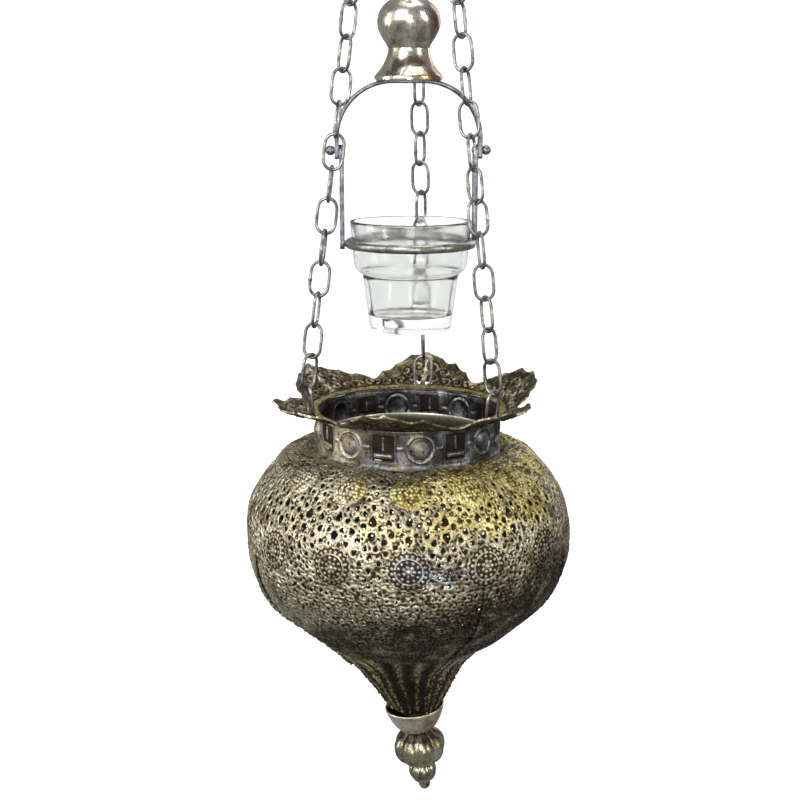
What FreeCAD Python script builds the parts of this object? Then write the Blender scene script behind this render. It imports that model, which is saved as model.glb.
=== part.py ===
"""Sanctuary lamp: an onion-shaped pierced metal bowl on three chains, with a glass light cup hung in its mouth.

Millimetres, +Z up. The origin is the centre of the upper bore of the hanging link, where a ceiling hook goes.
Everything hangs below it, so a "depth" is a distance below that bore's centre.
"""
import FreeCAD, Part
import math
import os

import Sketcher
from FreeCAD import Matrix, Placement, Rotation, Vector

SIZES = {
    # hanging link: a flat figure of eight
    "hook_bore_radius": 9,
    "hook_loop_radius": 13,
    "lower_hole_radius": 4.2,
    "lower_loop_radius": 8,
    "lower_hole_depth": 17.5,
    "link_plate_thickness": 4,
    # swivel
    "eye_depth": 24.1,
    "eye_ring_radius": 4.7,
    "eye_wire_radius": 1.4,
    "barrel_top_depth": 29.2,
    "barrel_length": 11.8,
    "barrel_radius": 5,
    "barrel_cavity_radius": 3.6,
    "barrel_cavity_depth": 32.5,
    "barrel_floor": 2.5,
    "stem_radius": 2,
    "stem_head_radius": 3.3,
    "stem_head_height": 3,
    "stem_length": 33.6,
    "turning_clearance": 0.1,
    # crown
    "crown_depth": 47,
    "crown_height": 18,
    "crown_wall": 1,
    "crown_top_radius": 7,
    "crown_dome_radius": 15.5,
    "crown_flange_radius": 25,
    "nut_flat_radius": 4,
    "nut_height": 3,
    "washer_radius": 5.5,
    "washer_thickness": 1,
    "eye_nut_radius": 4.5,
    "eye_nut_height": 6,
    "eye_nut_depth": 66,
    "eye_nut_ring_radius": 4,
    "eye_nut_wire_radius": 1.3,
    "eyelet_ring_radius": 3.4,
    "eyelet_wire_radius": 1,
    # chains
    "chain_pitch": 16.77,
    "chain_wire_radius": 0.85,
    "chain_inner_width": 8,
    "chain_play": 0.1,
    "rim_play": 0.12,
    "chain_links": 18,
    "chain_top_depth": 71.8,
    "chain_top_radius": 19.2,
    "chain_lean": 7.474,
    "back_chain_azimuth": 80.7,
    "hanger_top_depth": 78.7,
    "hanger_links": 4,
    # spindle: eye rod, ball and bell over the arch
    "hanger_yaw": 4,
    "spindle_rod_radius": 2,
    "ball_radius": 16.7,
    "ball_depth": 180,
    "ball_top": 12.3,
    "ball_top_radius": 8.5,
    "ball_bottom": 13.4,
    "neck_radius": 9.9,
    "bell_height": 15.6,
    "bell_lip_radius": 18.2,
    "bell_lip_height": 3,
    "bell_wall": 1.2,
    "bell_boss_radius": 5,
    "bell_depth": 209,
    # arch and arms of the cup carrier
    "strap_width": 6,
    "strap_thickness": 1.6,
    "arch_half_span": 38.2,
    "arch_corner_radius": 30,
    "pivot_depth": 246,
    "pivot_pin_radius": 1.25,
    "pivot_clearance": 0.07,
    "pivot_ball_radius": 2.65,
    "pivot_ball_reach": 41.9,
    "strap_tail": 4.5,
    "arch_rise": 36.2,
    "arm_thickness": 2,
    "arm_reach": 36.3,
    "arm_bottom_depth": 298.5,
    "ring_depth": 295.7,
    "ring_wire_radius": 1.8,
    "ring_outer_radius": 35.6,
    "ring_offset": 1.2,
    # glass cup
    "glass_rim_depth": 283.8,
    "glass_height": 59.2,
    "glass_rim_radius": 33,
    "glass_waist_radius": 31,
    "glass_step_radius": 26.2,
    "glass_base_radius": 22.3,
    "glass_wall": 2.2,
    "glass_floor": 8,
    "glass_waist_drop": 22,
    "glass_step_drop": 28.4,
    # rim and collar
    "collar_radius": 51,
    "collar_top_depth": 388.5,
    "collar_height": 21.5,
    "sheet_thickness": 0.8,
    "petal_reach": 79,
    "petal_valley": 61,
    "petal_rise": 10,
    "petal_first_azimuth": 20.7,
    "hoop_height": 7,
    "sewing_hole_radius": 2.15,
    "sewing_hole_spacing": 6.8,
    # bowl
    "bowl_top_depth": 409.5,
    "equator_depth": 457,
    "equator_radius": 91.8,
    "bowl_thickness": 1,
    "gore_count": 8,
    "gore_first_azimuth": 25,
    "gore_gap": 0.1,
    "tail_depth": 536,
    "tail_lean": 6.8,
    # cup and finial below the bowl, placed along the leaning tail
    "cup_along": 34,
    "cup_insert": 1.5,
    "cup_radius": 17.8,
    "cup_height": 15.5,
    "cup_neck_radius": 8.5,
    "finial_rod_radius": 1.6,
    "finial_ball_radius": 15.4,
    "finial_ball_height": 22,
    "finial_bead_radius": 8.4,
    "finial_bead_height": 12.5,
    "finial_tip_radius": 3.6,
    "finial_tip_height": 6,
}

# Outer outline of the bowl from the collar to the equator, the tail joint and the bottom cup: radius, depth.
BOWL_OUTLINE = [
    (51.0, 409.5), (59.0, 410.2), (66.0, 412.2), (72.5, 416.6), (81.6, 427.0), (89.6, 441.0),
    (91.8, 457.0), (90.0, 475.0), (80.5, 493.0), (62.8, 511.0), (45.8, 525.0),
    (35.0, 536.0), (25.8, 551.0), (18.2, 564.0), (16.5, 568.0), (16.3, 576.0),
]
EQUATOR_POINT = 6
TAIL_POINT = 11

# Each chain: how far its azimuth is from the back chain's, and how its links are wound about its length.
# The winding is given in degrees at a few of the links, counted from the rim, and is even between them.
CHAINS = {
    "back_chain": (0, [(0, 171), (6, 240), (18, 240)]),
    "left_chain": (120, [(0, 111), (1, 140), (3, 168), (8, 180), (12, 226), (18, 226)]),
    "right_chain": (240, [(0, 51), (2, 45), (4, 10), (6, 15), (8, 68), (11, 62), (18, 30)]),
}

UP = Vector(0, 0, 1)
doc = FreeCAD.newDocument("sanctuary_lamp")


def make_sheet():
    sheet = doc.addObject("Spreadsheet::Sheet", "sizes")
    for row, (alias, value) in enumerate(SIZES.items(), start=1):
        sheet.set(f"A{row}", alias.replace("_", " "))
        sheet.set(f"B{row}", str(value))
        sheet.setAlias(f"B{row}", alias)
    doc.recompute()
    return sheet


SHEET = make_sheet()
PIECES = []


def value(expression):
    """The number that an expression on the sheet gives."""
    return float(SHEET.evalExpression(expression))


def size(alias):
    return float(getattr(SHEET, alias))


def bind(item, prop, expression):
    item.setExpression(prop, expression)


def keep(item, label):
    item.Label = label
    PIECES.append(item)
    return item


def place(item, x="0", y="0", z="0"):
    """Binds the place of a piece to expressions on the sheet."""
    for axis, expression in zip("xyz", (x, y, z)):
        bind(item, f"Placement.Base.{axis}", expression)


def turn_with_hanger(item):
    """Turns a piece about the vertical with the arch."""
    item.Placement = Placement(item.Placement.Base, Rotation(UP, 1))
    bind(item, "Placement.Rotation.Angle", "sizes.hanger_yaw")


def place_on_tail(item, along):
    """Sets a piece on the leaning axis of the tail, its own origin that far below the tail joint."""
    item.Placement = Placement(Vector(), Rotation(Vector(0, -1, 0), 1))
    bind(item, "Placement.Rotation.Angle", "sizes.tail_lean")
    place(item, x=f"({along}) * sin(sizes.tail_lean * 1deg)",
          z=f"-sizes.tail_depth - ({along}) * cos(sizes.tail_lean * 1deg)")


# ---- sketches and bodies ----

def origin_plane(body, role):
    return next(item for item in body.Origin.OriginFeatures if item.Role == role)


def add_sketch(body, role, name):
    sketch = body.newObject("Sketcher::SketchObject", name)
    sketch.AttachmentSupport = (origin_plane(body, role), "")
    sketch.MapMode = "FlatFace"
    return sketch


def fix_point(sketch, geometry, end, expressions):
    """Ties one end of a line or arc to two expressions on the sheet."""
    for kind, axis, expression in (("DistanceX", -2, expressions[0]), ("DistanceY", -1, expressions[1])):
        if abs(value(expression)) < 1e-9:
            sketch.addConstraint(Sketcher.Constraint("PointOnObject", geometry, end, axis))
        else:
            index = sketch.addConstraint(Sketcher.Constraint(kind, geometry, end, value(expression)))
            sketch.setExpression(f"Constraints[{index}]", expression)


def draw_outline(sketch, corners):
    """Draws a closed outline. A corner is two expressions, and a third item, a point, bulges its next side.

    Every arc is drawn anticlockwise, so that the solver keeps its side.
    """
    points = [Vector(value(corner[0]), value(corner[1]), 0) for corner in corners]
    ends = []
    for index, corner in enumerate(corners):
        start, finish = points[index], points[(index + 1) % len(points)]
        clockwise = False
        if len(corner) > 2:
            through = Vector(value(corner[2][0]), value(corner[2][1]), 0)
            clockwise = (through - start).cross(finish - start).z < 0
            side = Part.Arc(finish, through, start) if clockwise else Part.Arc(start, through, finish)
        else:
            side = Part.LineSegment(start, finish)
        geometry = sketch.addGeometry(side)
        ends.append((geometry, 2, 1) if clockwise else (geometry, 1, 2))
    for index, corner in enumerate(corners):
        before = ends[index - 1]
        here = ends[index]
        sketch.addConstraint(Sketcher.Constraint("Coincident", before[0], before[2], here[0], here[1]))
        fix_point(sketch, here[0], here[1], corner)


def draw_circle(sketch, radius, x="0", y="0"):
    centre = Vector(value(x), value(y), 0)
    geometry = sketch.addGeometry(Part.Circle(centre, UP, value(radius)))
    index = sketch.addConstraint(Sketcher.Constraint("Radius", geometry, value(radius)))
    sketch.setExpression(f"Constraints[{index}]", radius)
    fix_point(sketch, geometry, 3, (x, y))


def turned(label, corners):
    """A piece turned about its own vertical axis from an outline of (radius, height) corners."""
    body = doc.addObject("PartDesign::Body", label)
    sketch = add_sketch(body, "XZ_Plane", f"{label}_outline")
    draw_outline(sketch, corners)
    turning = body.newObject("PartDesign::Revolution", f"{label}_turning")
    turning.Profile = sketch
    turning.ReferenceAxis = (sketch, ["V_Axis"])
    turning.Angle = 360
    return keep(body, label)


def padded(body, sketch, name, length, both_ways=True):
    pad = body.newObject("PartDesign::Pad", name)
    pad.Profile = sketch
    pad.SideType = "Symmetric" if both_ways else "One side"
    bind(pad, "Length", length)
    return pad


def pocketed(body, sketch, name, both_ways=True):
    """Cuts a sketch right through the body."""
    doc.recompute()
    before = body.Shape.Volume
    pocket = body.newObject("PartDesign::Pocket", name)
    pocket.Profile = sketch
    pocket.Type = "ThroughAll"
    if both_ways:
        pocket.SideType = "Symmetric"
    doc.recompute()
    if body.Shape.Volume > before - 1e-3:
        raise RuntimeError(f"{name} cuts nothing")
    return pocket


def feature(label, shape, where=None):
    """A sub-part whose shape is made with Part's own functions."""
    item = doc.addObject("Part::Feature", label)
    item.Shape = shape
    item.Placement = where or Placement()
    return keep(item, label)


def cylinder(name, radius, height, z, direction=None, x="0", y="0"):
    item = doc.addObject("Part::Cylinder", name)
    if direction:
        item.Placement = Placement(Vector(), Rotation(UP, direction))
    bind(item, "Radius", radius)
    bind(item, "Height", height)
    place(item, x, y, z)
    return item


def torus(name, ring_radius, wire_radius, z, direction=None):
    item = doc.addObject("Part::Torus", name)
    if direction:
        item.Placement = Placement(Vector(), Rotation(UP, direction))
    bind(item, "Radius1", ring_radius)
    bind(item, "Radius2", wire_radius)
    place(item, z=z)
    return item


def fuse(name, items):
    item = doc.addObject("Part::MultiFuse", name)
    item.Shapes = items
    return item


def cut(name, base, tool):
    item = doc.addObject("Part::Cut", name)
    item.Base = base
    item.Tool = tool
    return item


# ---- fasteners ----

def hex_prism(flat_radius, height, hole_radius, foot):
    """A plain hexagon nut with its foot at the given height."""
    corner = flat_radius / math.cos(math.radians(30))
    points = [Vector(corner * math.cos(math.radians(60 * turn)), corner * math.sin(math.radians(60 * turn)), foot)
              for turn in range(7)]
    prism = Part.Face(Part.makePolygon(points)).extrude(Vector(0, 0, height))
    return prism.cut(Part.makeCylinder(hole_radius, height, Vector(0, 0, foot)))


def washer(label, hole_radius, foot):
    item = turned(label, [(hole_radius, "0"), ("sizes.washer_radius", "0"),
                          ("sizes.washer_radius", "sizes.washer_thickness"),
                          (hole_radius, "sizes.washer_thickness")])
    place(item, z=foot)
    return item


# ---- hanging link, swivel and crown ----

def make_suspension_link():
    body = doc.addObject("PartDesign::Body", "suspension_link")
    loops = (("upper", "sizes.hook_loop_radius", "sizes.hook_bore_radius", "0"),
             ("lower", "sizes.lower_loop_radius", "sizes.lower_hole_radius", "-sizes.lower_hole_depth"))
    for name, outer, _, centre in loops:
        disc = add_sketch(body, "XZ_Plane", f"{name}_disc")
        draw_circle(disc, outer, y=centre)
        padded(body, disc, f"{name}_plate", "sizes.link_plate_thickness")
    for name, _, inner, centre in loops:
        hole = add_sketch(body, "XZ_Plane", f"{name}_hole")
        draw_circle(hole, inner, y=centre)
        pocketed(body, hole, f"{name}_bore")
    keep(body, "suspension_link")


def make_swivel():
    loop = torus("eye_loop", "sizes.eye_ring_radius", "sizes.eye_wire_radius", "-sizes.eye_depth", Vector(1, 0, 0))
    barrel_foot = "-sizes.barrel_top_depth - sizes.barrel_length"
    barrel = cylinder("eye_barrel", "sizes.barrel_radius", "sizes.barrel_length", barrel_foot)
    cavity = cylinder("eye_cavity", "sizes.barrel_cavity_radius",
                      "sizes.barrel_top_depth + sizes.barrel_length - sizes.barrel_floor"
                      " - sizes.barrel_cavity_depth", f"{barrel_foot} + sizes.barrel_floor")
    hole = cylinder("eye_hole", "sizes.stem_radius + sizes.turning_clearance", "sizes.barrel_floor * 2",
                    f"{barrel_foot} - sizes.barrel_floor * 0.5")
    keep(cut("swivel_eye", fuse("eye_outside", [loop, barrel]), fuse("eye_inside", [cavity, hole])), "swivel_eye")

    shoulder = "sizes.stem_length - sizes.stem_head_height"
    stem = turned("swivel_stem", [("0", "0"), ("sizes.stem_radius", "0"), ("sizes.stem_radius", shoulder),
                                  ("sizes.stem_head_radius", shoulder),
                                  ("sizes.stem_head_radius", "sizes.stem_length"), ("0", "sizes.stem_length")])
    place(stem, z="-sizes.barrel_top_depth - sizes.barrel_length + sizes.barrel_floor + sizes.turning_clearance"
                  " + sizes.stem_head_height - sizes.stem_length")


def make_crown():
    wall = "sizes.crown_wall"
    flange_top = wall
    top = "sizes.crown_height"
    hole = "sizes.stem_radius"
    shoulder = ("sizes.crown_dome_radius * 0.82", "sizes.crown_height * 0.66")
    inner_shoulder = (f"{shoulder[0]} - {wall} * 0.75", f"{shoulder[1]} - {wall} * 0.75")
    cap = turned("crown_cap", [
        (hole, f"{top} - {wall}"), (f"sizes.crown_top_radius - {wall} * 0.4", f"{top} - {wall}", inner_shoulder),
        (f"sizes.crown_dome_radius - {wall}", "0"), ("sizes.crown_flange_radius", "0"),
        ("sizes.crown_flange_radius", flange_top), ("sizes.crown_dome_radius", flange_top, shoulder),
        ("sizes.crown_top_radius", top), (hole, top)])
    place(cap, z="-sizes.crown_depth - sizes.crown_height")
    washer("crown_washer", hole, "-sizes.crown_depth")

    nuts = [hex_prism(size("nut_flat_radius"), size("nut_height"), size("stem_radius"), foot) for foot in
            (size("washer_thickness") - size("crown_depth"),
             -size("crown_depth") - size("crown_wall") - size("nut_height"))]
    feature("crown_nuts", Part.makeCompound(nuts))

    boss = cylinder("eye_nut_boss", "sizes.eye_nut_radius", "sizes.eye_nut_height",
                    "-sizes.eye_nut_depth - sizes.eye_nut_height")
    loop = torus("eye_nut_loop", "sizes.eye_nut_ring_radius", "sizes.eye_nut_wire_radius",
                 "-sizes.hanger_top_depth + sizes.eye_nut_ring_radius - sizes.eye_nut_wire_radius", Vector(1, 0, 0))
    thread = cylinder("eye_nut_thread", "sizes.stem_radius", "sizes.eye_nut_height * 0.75",
                      "-sizes.eye_nut_depth - sizes.eye_nut_height * 0.7")
    keep(cut("eye_nut", fuse("eye_nut_outside", [boss, loop]), thread), "eye_nut")


# ---- chains ----

def chain_azimuth(offset):
    return size("back_chain_azimuth") + offset


def chain_contact(azimuth, count):
    """Where the link with this number from the crown hangs in the one above it."""
    lean = math.radians(size("chain_lean"))
    along = count * size("chain_pitch")
    radius = size("chain_top_radius") + along * math.sin(lean)
    turn = math.radians(azimuth)
    depth = size("chain_top_depth") + along * math.cos(lean)
    return Vector(radius * math.cos(turn), radius * math.sin(turn), -depth)


def oval_link():
    """One upright link in the XZ plane, centred on the origin, its inside one pitch long."""
    wire = size("chain_wire_radius")
    bend = size("chain_inner_width") / 2 + wire
    half = size("chain_pitch") / 2 + wire + size("chain_play") / 2 - bend
    corners = [Vector(side * bend, 0, height) for side, height in ((1, -half), (1, half), (-1, half), (-1, -half))]
    path = Part.Wire([
        Part.LineSegment(corners[0], corners[1]).toShape(),
        Part.Arc(corners[1], Vector(0, 0, half + bend), corners[2]).toShape(),
        Part.LineSegment(corners[2], corners[3]).toShape(),
        Part.Arc(corners[3], Vector(0, 0, -half - bend), corners[0]).toShape()])
    section = Part.Wire(Part.Circle(corners[0], UP, wire).toShape())
    return path.makePipeShell([section], True, False)


def stand_link(link, lower, upper, winding):
    """A copy of the link between two contacts, wound about the line between them."""
    along = (upper - lower).normalize()
    turn = math.radians(winding)
    across = Vector(math.cos(turn), math.sin(turn), 0)
    copy = link.copy()
    copy.Placement = Placement((upper + lower) / 2, Rotation(across, Vector(), along, "ZXY"))
    return copy


def winding_at(points, number):
    """The winding of a link, even between the numbered points, with every second link a quarter turn on."""
    for (first, start), (last, finish) in zip(points, points[1:]):
        if number <= last:
            return start + (finish - start) * (number - first) / (last - first) + 90 * (number % 2)
    raise ValueError("the winding ends before the chain does")


def rim_contacts(azimuth):
    """Upper and lower contacts of the link that is sewn through the root of a petal."""
    upper = chain_contact(azimuth, int(size("chain_links")))
    turn = math.radians(azimuth)
    inward = 1.6
    lower = upper - Vector(inward * math.cos(turn), inward * math.sin(turn),
                           math.sqrt(size("chain_pitch") ** 2 - inward ** 2))
    return lower, upper


def make_chains():
    link = oval_link()
    count = int(size("chain_links"))
    sewn = []
    eyelets = []
    for label, (offset, winding) in CHAINS.items():
        azimuth = chain_azimuth(offset)
        links = []
        for number in range(count):
            lower, upper = chain_contact(azimuth, number + 1), chain_contact(azimuth, number)
            links.append(stand_link(link, lower, upper, winding_at(winding, count - number)))
        feature(label, Part.makeCompound(links))
        lower, upper = rim_contacts(azimuth)
        lift = Vector(0, 0, size("rim_play"))
        sewn.append(stand_link(link, lower + lift, upper + lift, azimuth + 90))
        eyelets.append(crown_eyelet(azimuth, winding_at(winding, count) + 90))
    feature("rim_links", Part.makeCompound(sewn))
    feature("crown_eyelets", Part.makeCompound(eyelets))

    hanger = []
    pitch = size("chain_pitch")
    for number in range(int(size("hanger_links"))):
        upper = Vector(0, 0, -size("hanger_top_depth") - number * pitch)
        hanger.append(stand_link(link, upper - Vector(0, 0, pitch), upper, 90 * number))
    feature("hanger_chain", Part.makeCompound(hanger))


def crown_eyelet(azimuth, facing):
    """A riveted ring under the crown's flange, which holds the top link of a chain."""
    ring, wire = size("eyelet_ring_radius"), size("eyelet_wire_radius")
    contact = chain_contact(azimuth, 0)
    centre = contact + Vector(0, 0, ring - wire - size("chain_play") / 2)
    turn = math.radians(facing + 90)
    loop = Part.makeTorus(ring, wire, centre, Vector(math.cos(turn), math.sin(turn), 0))
    underside = -size("crown_depth") - size("crown_height")
    shank_foot = centre + Vector(0, 0, ring)
    head_foot = Vector(contact.x, contact.y, underside + size("crown_wall"))
    shank = Part.makeCylinder(wire, head_foot.z - shank_foot.z + wire, shank_foot)
    head = Part.makeSphere(wire * 2.2, head_foot, UP, 0, 90, 360)
    return loop.fuse([shank, head])


def drill_crown():
    """The flange is drilled for the shanks of the eyelets, without play."""
    cap = next(item for item in PIECES if item.Label == "crown_cap")
    holes = add_sketch(cap, "XY_Plane", "eyelet_holes")
    for offset, _ in CHAINS.values():
        turn = f"(sizes.back_chain_azimuth + {offset}) * 1deg"
        draw_circle(holes, "sizes.eyelet_wire_radius", f"sizes.chain_top_radius * cos({turn})",
                    f"sizes.chain_top_radius * sin({turn})")
    pocketed(cap, holes, "eyelet_drilling")


# ---- spindle and arch ----

def make_spindle():
    """The eye rod with the ball and bell threaded on it. Its foot is riveted over flush under the arch strap."""
    rod = "sizes.spindle_rod_radius"
    eye_ring, eye_wire = "sizes.eye_nut_ring_radius", "sizes.eye_nut_wire_radius"
    contact = "(sizes.hanger_top_depth + sizes.hanger_links * sizes.chain_pitch)"
    loop = torus("rod_loop", eye_ring, eye_wire,
                 f"-{contact} + {eye_wire} - {eye_ring} + sizes.chain_play / 2", Vector(0, 1, 0))
    rod_top = f"({contact} + 2 * {eye_ring} - {eye_wire} * 1.5)"
    rod_bottom = "(sizes.bell_depth + sizes.strap_thickness)"
    shank = cylinder("rod_shank", rod, f"{rod_bottom} - {rod_top}", f"-{rod_bottom}")
    turn_with_hanger(keep(fuse("spindle_rod", [loop, shank]), "spindle_rod"))

    ball = turned("spindle_ball", [
        (rod, "0"), ("sizes.neck_radius", "0", ("sizes.ball_radius", "sizes.ball_bottom")),
        ("sizes.ball_top_radius", "sizes.ball_bottom + sizes.ball_top"),
        (rod, "sizes.ball_bottom + sizes.ball_top")])
    place(ball, z="-sizes.ball_depth - sizes.ball_bottom")

    lip, wall = "sizes.bell_lip_radius", "sizes.bell_wall"
    waist = ("sizes.neck_radius * 1.12", "sizes.bell_height * 0.55")
    bell = turned("spindle_bell", [
        (lip, "0"), (lip, "sizes.bell_lip_height", waist), ("sizes.neck_radius", "sizes.bell_height"),
        (rod, "sizes.bell_height"), (rod, "0"), ("sizes.bell_boss_radius", "0"),
        ("sizes.bell_boss_radius", f"sizes.bell_height - {wall} * 2"),
        (f"sizes.neck_radius - {wall}", f"sizes.bell_height - {wall} * 2",
         (f"{waist[0]} - {wall}", f"{waist[1]} - {wall}")),
        (f"{lip} - {wall}", "sizes.bell_lip_height - 1"), (f"{lip} - {wall}", "0")])
    place(bell, z="-sizes.bell_depth")


def arch_side(offset, sign):
    """Corners of one face of the arch strap, from its right foot to its left, or back the other way."""
    centre = "(sizes.arch_half_span - sizes.arch_corner_radius)"
    centre_height = "(sizes.arch_rise - sizes.arch_corner_radius)"
    radius = f"(sizes.arch_corner_radius + {offset})"
    foot = "-sizes.strap_tail"
    diagonal = math.sqrt(0.5)
    bulge = [(f"{side} * ({centre} + {radius} * {diagonal})", f"{centre_height} + {radius} * {diagonal}")
             for side in (1, -1)]
    corners = [(f"{centre} + {radius}", foot), (f"{centre} + {radius}", centre_height, bulge[0]),
               (centre, f"{centre_height} + {radius}"), (f"-{centre}", f"{centre_height} + {radius}", bulge[1]),
               (f"-{centre} - {radius}", centre_height), (f"-{centre} - {radius}", foot)]
    if sign > 0:
        return corners
    corners = [corner[:2] for corner in reversed(corners)]
    corners[1] += (bulge[1],)
    corners[3] += (bulge[0],)
    return corners


def drill_pivots(body):
    """Cross-drills a strap or a pair of straps along the pivot axis."""
    holes = add_sketch(body, "YZ_Plane", "pivot_hole")
    draw_circle(holes, "sizes.pivot_pin_radius")
    pocketed(body, holes, "pivot_drilling")


def make_arch():
    body = doc.addObject("PartDesign::Body", "arch")
    outline = add_sketch(body, "XZ_Plane", "arch_outline")
    half = "sizes.strap_thickness / 2"
    draw_outline(outline, arch_side(half, 1) + arch_side(f"-{half}", -1))
    padded(body, outline, "arch_strap", "sizes.strap_width")
    drill_pivots(body)
    hole = add_sketch(body, "XY_Plane", "rod_hole")
    draw_circle(hole, "sizes.spindle_rod_radius")
    pocketed(body, hole, "rod_drilling")
    place(body, z="-sizes.pivot_depth")
    turn_with_hanger(body)
    keep(body, "arch")


def make_pivot_rivet(label, turned_by):
    """A ball-headed rivet through the arch and the arm, peened inside the arm, turned from an outline."""
    face = value("sizes.arch_half_span + sizes.strap_thickness / 2")
    tail = value("sizes.arm_reach - sizes.arm_thickness / 2 - sizes.pivot_clearance")
    pin, ball, centre = size("pivot_pin_radius"), size("pivot_ball_radius"), size("pivot_ball_reach")
    stem = pin * 1.3
    dome = pin * 1.8
    neck = centre - math.sqrt(ball ** 2 - stem ** 2)
    corners = [(tail - dome * 0.6, 0), (tail, dome), (tail, pin), (face, pin), (face, stem), (neck, stem),
               (centre + ball, 0)]
    points = [Vector(along, 0, radius) for along, radius in corners]
    sides = [Part.LineSegment(start, finish).toShape() for start, finish in zip(points[1:-2], points[2:-1])]
    cap = Part.Arc(points[0], Vector(tail - dome * 0.42, 0, dome * 0.7), points[1]).toShape()
    head = Part.Arc(points[-2], Vector(centre, 0, ball), points[-1]).toShape()
    axis = Part.LineSegment(points[-1], points[0]).toShape()
    outline = Part.Wire([cap] + sides + [head, axis])
    rivet = Part.Face(outline).revolve(Vector(), Vector(1, 0, 0), 360)
    feature(label, rivet, Placement(Vector(0, 0, -size("pivot_depth")),
                                    Rotation(UP, size("hanger_yaw") + turned_by)))


# ---- cup carrier and glass ----

def make_arm(label, side, bottom_depth):
    """A straight strap from the pivot down to the ring."""
    body = doc.addObject("PartDesign::Body", label)
    outline = add_sketch(body, "YZ_Plane", f"{label}_outline")
    half = "sizes.strap_width / 2"
    foot = f"sizes.pivot_depth - {bottom_depth}"
    draw_outline(outline, [(f"-{half}", foot), (half, foot), (half, "0", ("0", half)), (f"-{half}", "0")])
    padded(body, outline, f"{label}_strap", "sizes.arm_thickness")
    hole = add_sketch(body, "YZ_Plane", f"{label}_hole")
    draw_circle(hole, "sizes.pivot_pin_radius + sizes.pivot_clearance")
    pocketed(body, hole, f"{label}_drilling")
    turn_with_hanger(body)
    reach = f"{side} * sizes.arm_reach"
    place(body, x=f"{reach} * cos(sizes.hanger_yaw * 1deg)", y=f"{reach} * sin(sizes.hanger_yaw * 1deg)",
          z="-sizes.pivot_depth")
    keep(body, label)


def make_holder_ring():
    """The round wire ring and its welds: a lug beside the left arm, and a bead under the right one."""
    wire = size("ring_wire_radius")
    centre_line = size("ring_outer_radius") - wire
    ring = Part.makeTorus(centre_line, wire, Vector(size("ring_offset"), 0, 0))
    face = size("arm_reach") - size("arm_thickness") / 2
    lug = Part.makeCylinder(wire * 0.9, face + size("ring_offset") - centre_line, Vector(-face, 0, 0),
                            Vector(1, 0, 0))
    bead = Part.makeCylinder(wire * 0.8, wire, Vector(size("arm_reach"), 0, 0))
    where = Placement(Vector(0, 0, -size("ring_depth")), Rotation(UP, size("hanger_yaw")))
    feature("holder_ring", ring.fuse([lug, bead]), where)


def make_glass_cup():
    """A stepped glass: nearly straight rim band, rounded step, tapered foot and a thick floor."""
    wall = "sizes.glass_wall"
    height = "sizes.glass_height"
    waist = f"({height} - sizes.glass_waist_drop)"
    step = f"({height} - sizes.glass_step_drop)"
    chamfer = "1.5"
    cup = turned("glass_cup", [
        ("0", "0"), (f"sizes.glass_base_radius - {chamfer}", "0"), ("sizes.glass_base_radius", chamfer),
        ("sizes.glass_step_radius", step, ("sizes.glass_waist_radius - 1.4", f"{step} + 2.2")),
        ("sizes.glass_waist_radius", waist), ("sizes.glass_rim_radius", height),
        (f"sizes.glass_rim_radius - {wall}", height), (f"sizes.glass_waist_radius - {wall}", waist),
        (f"sizes.glass_step_radius - {wall}", f"{step} - 1"),
        (f"sizes.glass_base_radius - {wall} * 0.6", "sizes.glass_floor"), ("0", "sizes.glass_floor")])
    place(cup, x="sizes.ring_offset * cos(sizes.hanger_yaw * 1deg)",
          y="sizes.ring_offset * sin(sizes.hanger_yaw * 1deg)",
          z="-sizes.glass_rim_depth - sizes.glass_height")


# ---- rim, collar and bowl ----

def petal_edge(azimuth):
    """Plan radius of the petal rim: six broad petals, each drawn out to a point."""
    phase = (azimuth - size("petal_first_azimuth")) / 60
    from_tip = abs(phase - round(phase)) * 2
    return size("petal_valley") + (size("petal_reach") - size("petal_valley")) * (1 - from_tip ** 1.5)


def flare_height(radius):
    """Height of the petals above the collar at a radius."""
    reach = (radius - size("collar_radius")) / (size("petal_reach") - size("collar_radius"))
    return size("petal_rise") * max(reach, 0) ** 1.4


def make_petal_rim():
    root = size("collar_radius") - size("sheet_thickness")
    radii = [root + (size("petal_reach") + 1 - root) * step / 8 for step in range(9)]
    upper = [Vector(radius, 0, flare_height(radius)) for radius in radii]
    thickness = Vector(0, 0, size("sheet_thickness"))
    faces = []
    for lift in (Vector(), thickness):
        curve = Part.BSplineCurve()
        curve.interpolate([point + lift for point in upper])
        faces.append(curve.toShape())
    ends = [Part.LineSegment(upper[end], upper[end] + thickness).toShape() for end in (0, -1)]
    section = Part.Face(Part.Wire(Part.__sortEdges__(faces + ends)))
    flare = section.revolve(Vector(), UP, 360)

    edge = Part.BSplineCurve()
    steps = 96
    edge.interpolate([Vector(petal_edge(360 / steps * step) * math.cos(2 * math.pi * step / steps),
                             petal_edge(360 / steps * step) * math.sin(2 * math.pi * step / steps), -20)
                      for step in range(steps)], PeriodicFlag=True)
    plan = Part.Face(Part.Wire(edge.toShape())).extrude(Vector(0, 0, 60))
    rim = flare.common(plan)
    depth = size("collar_top_depth")
    for offset, _ in CHAINS.values():
        rim = rim.cut(Part.makeCompound(sewing_holes(chain_azimuth(offset), depth)))
    feature("petal_rim", rim.Solids[0], Placement(Vector(0, 0, -depth), Rotation()))


def sewing_holes(azimuth, depth):
    """The two holes in a petal's root through which a rim link is sewn."""
    lower, _ = rim_contacts(azimuth)
    turn = math.radians(azimuth)
    holes = []
    for side in (1, -1):
        across = Vector(-math.sin(turn), math.cos(turn), 0) * size("sewing_hole_spacing") / 2 * side
        foot = Vector(lower.x, lower.y, lower.z + depth - 10) + across
        holes.append(Part.makeCylinder(size("sewing_hole_radius"), 25, foot))
    return holes


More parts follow.
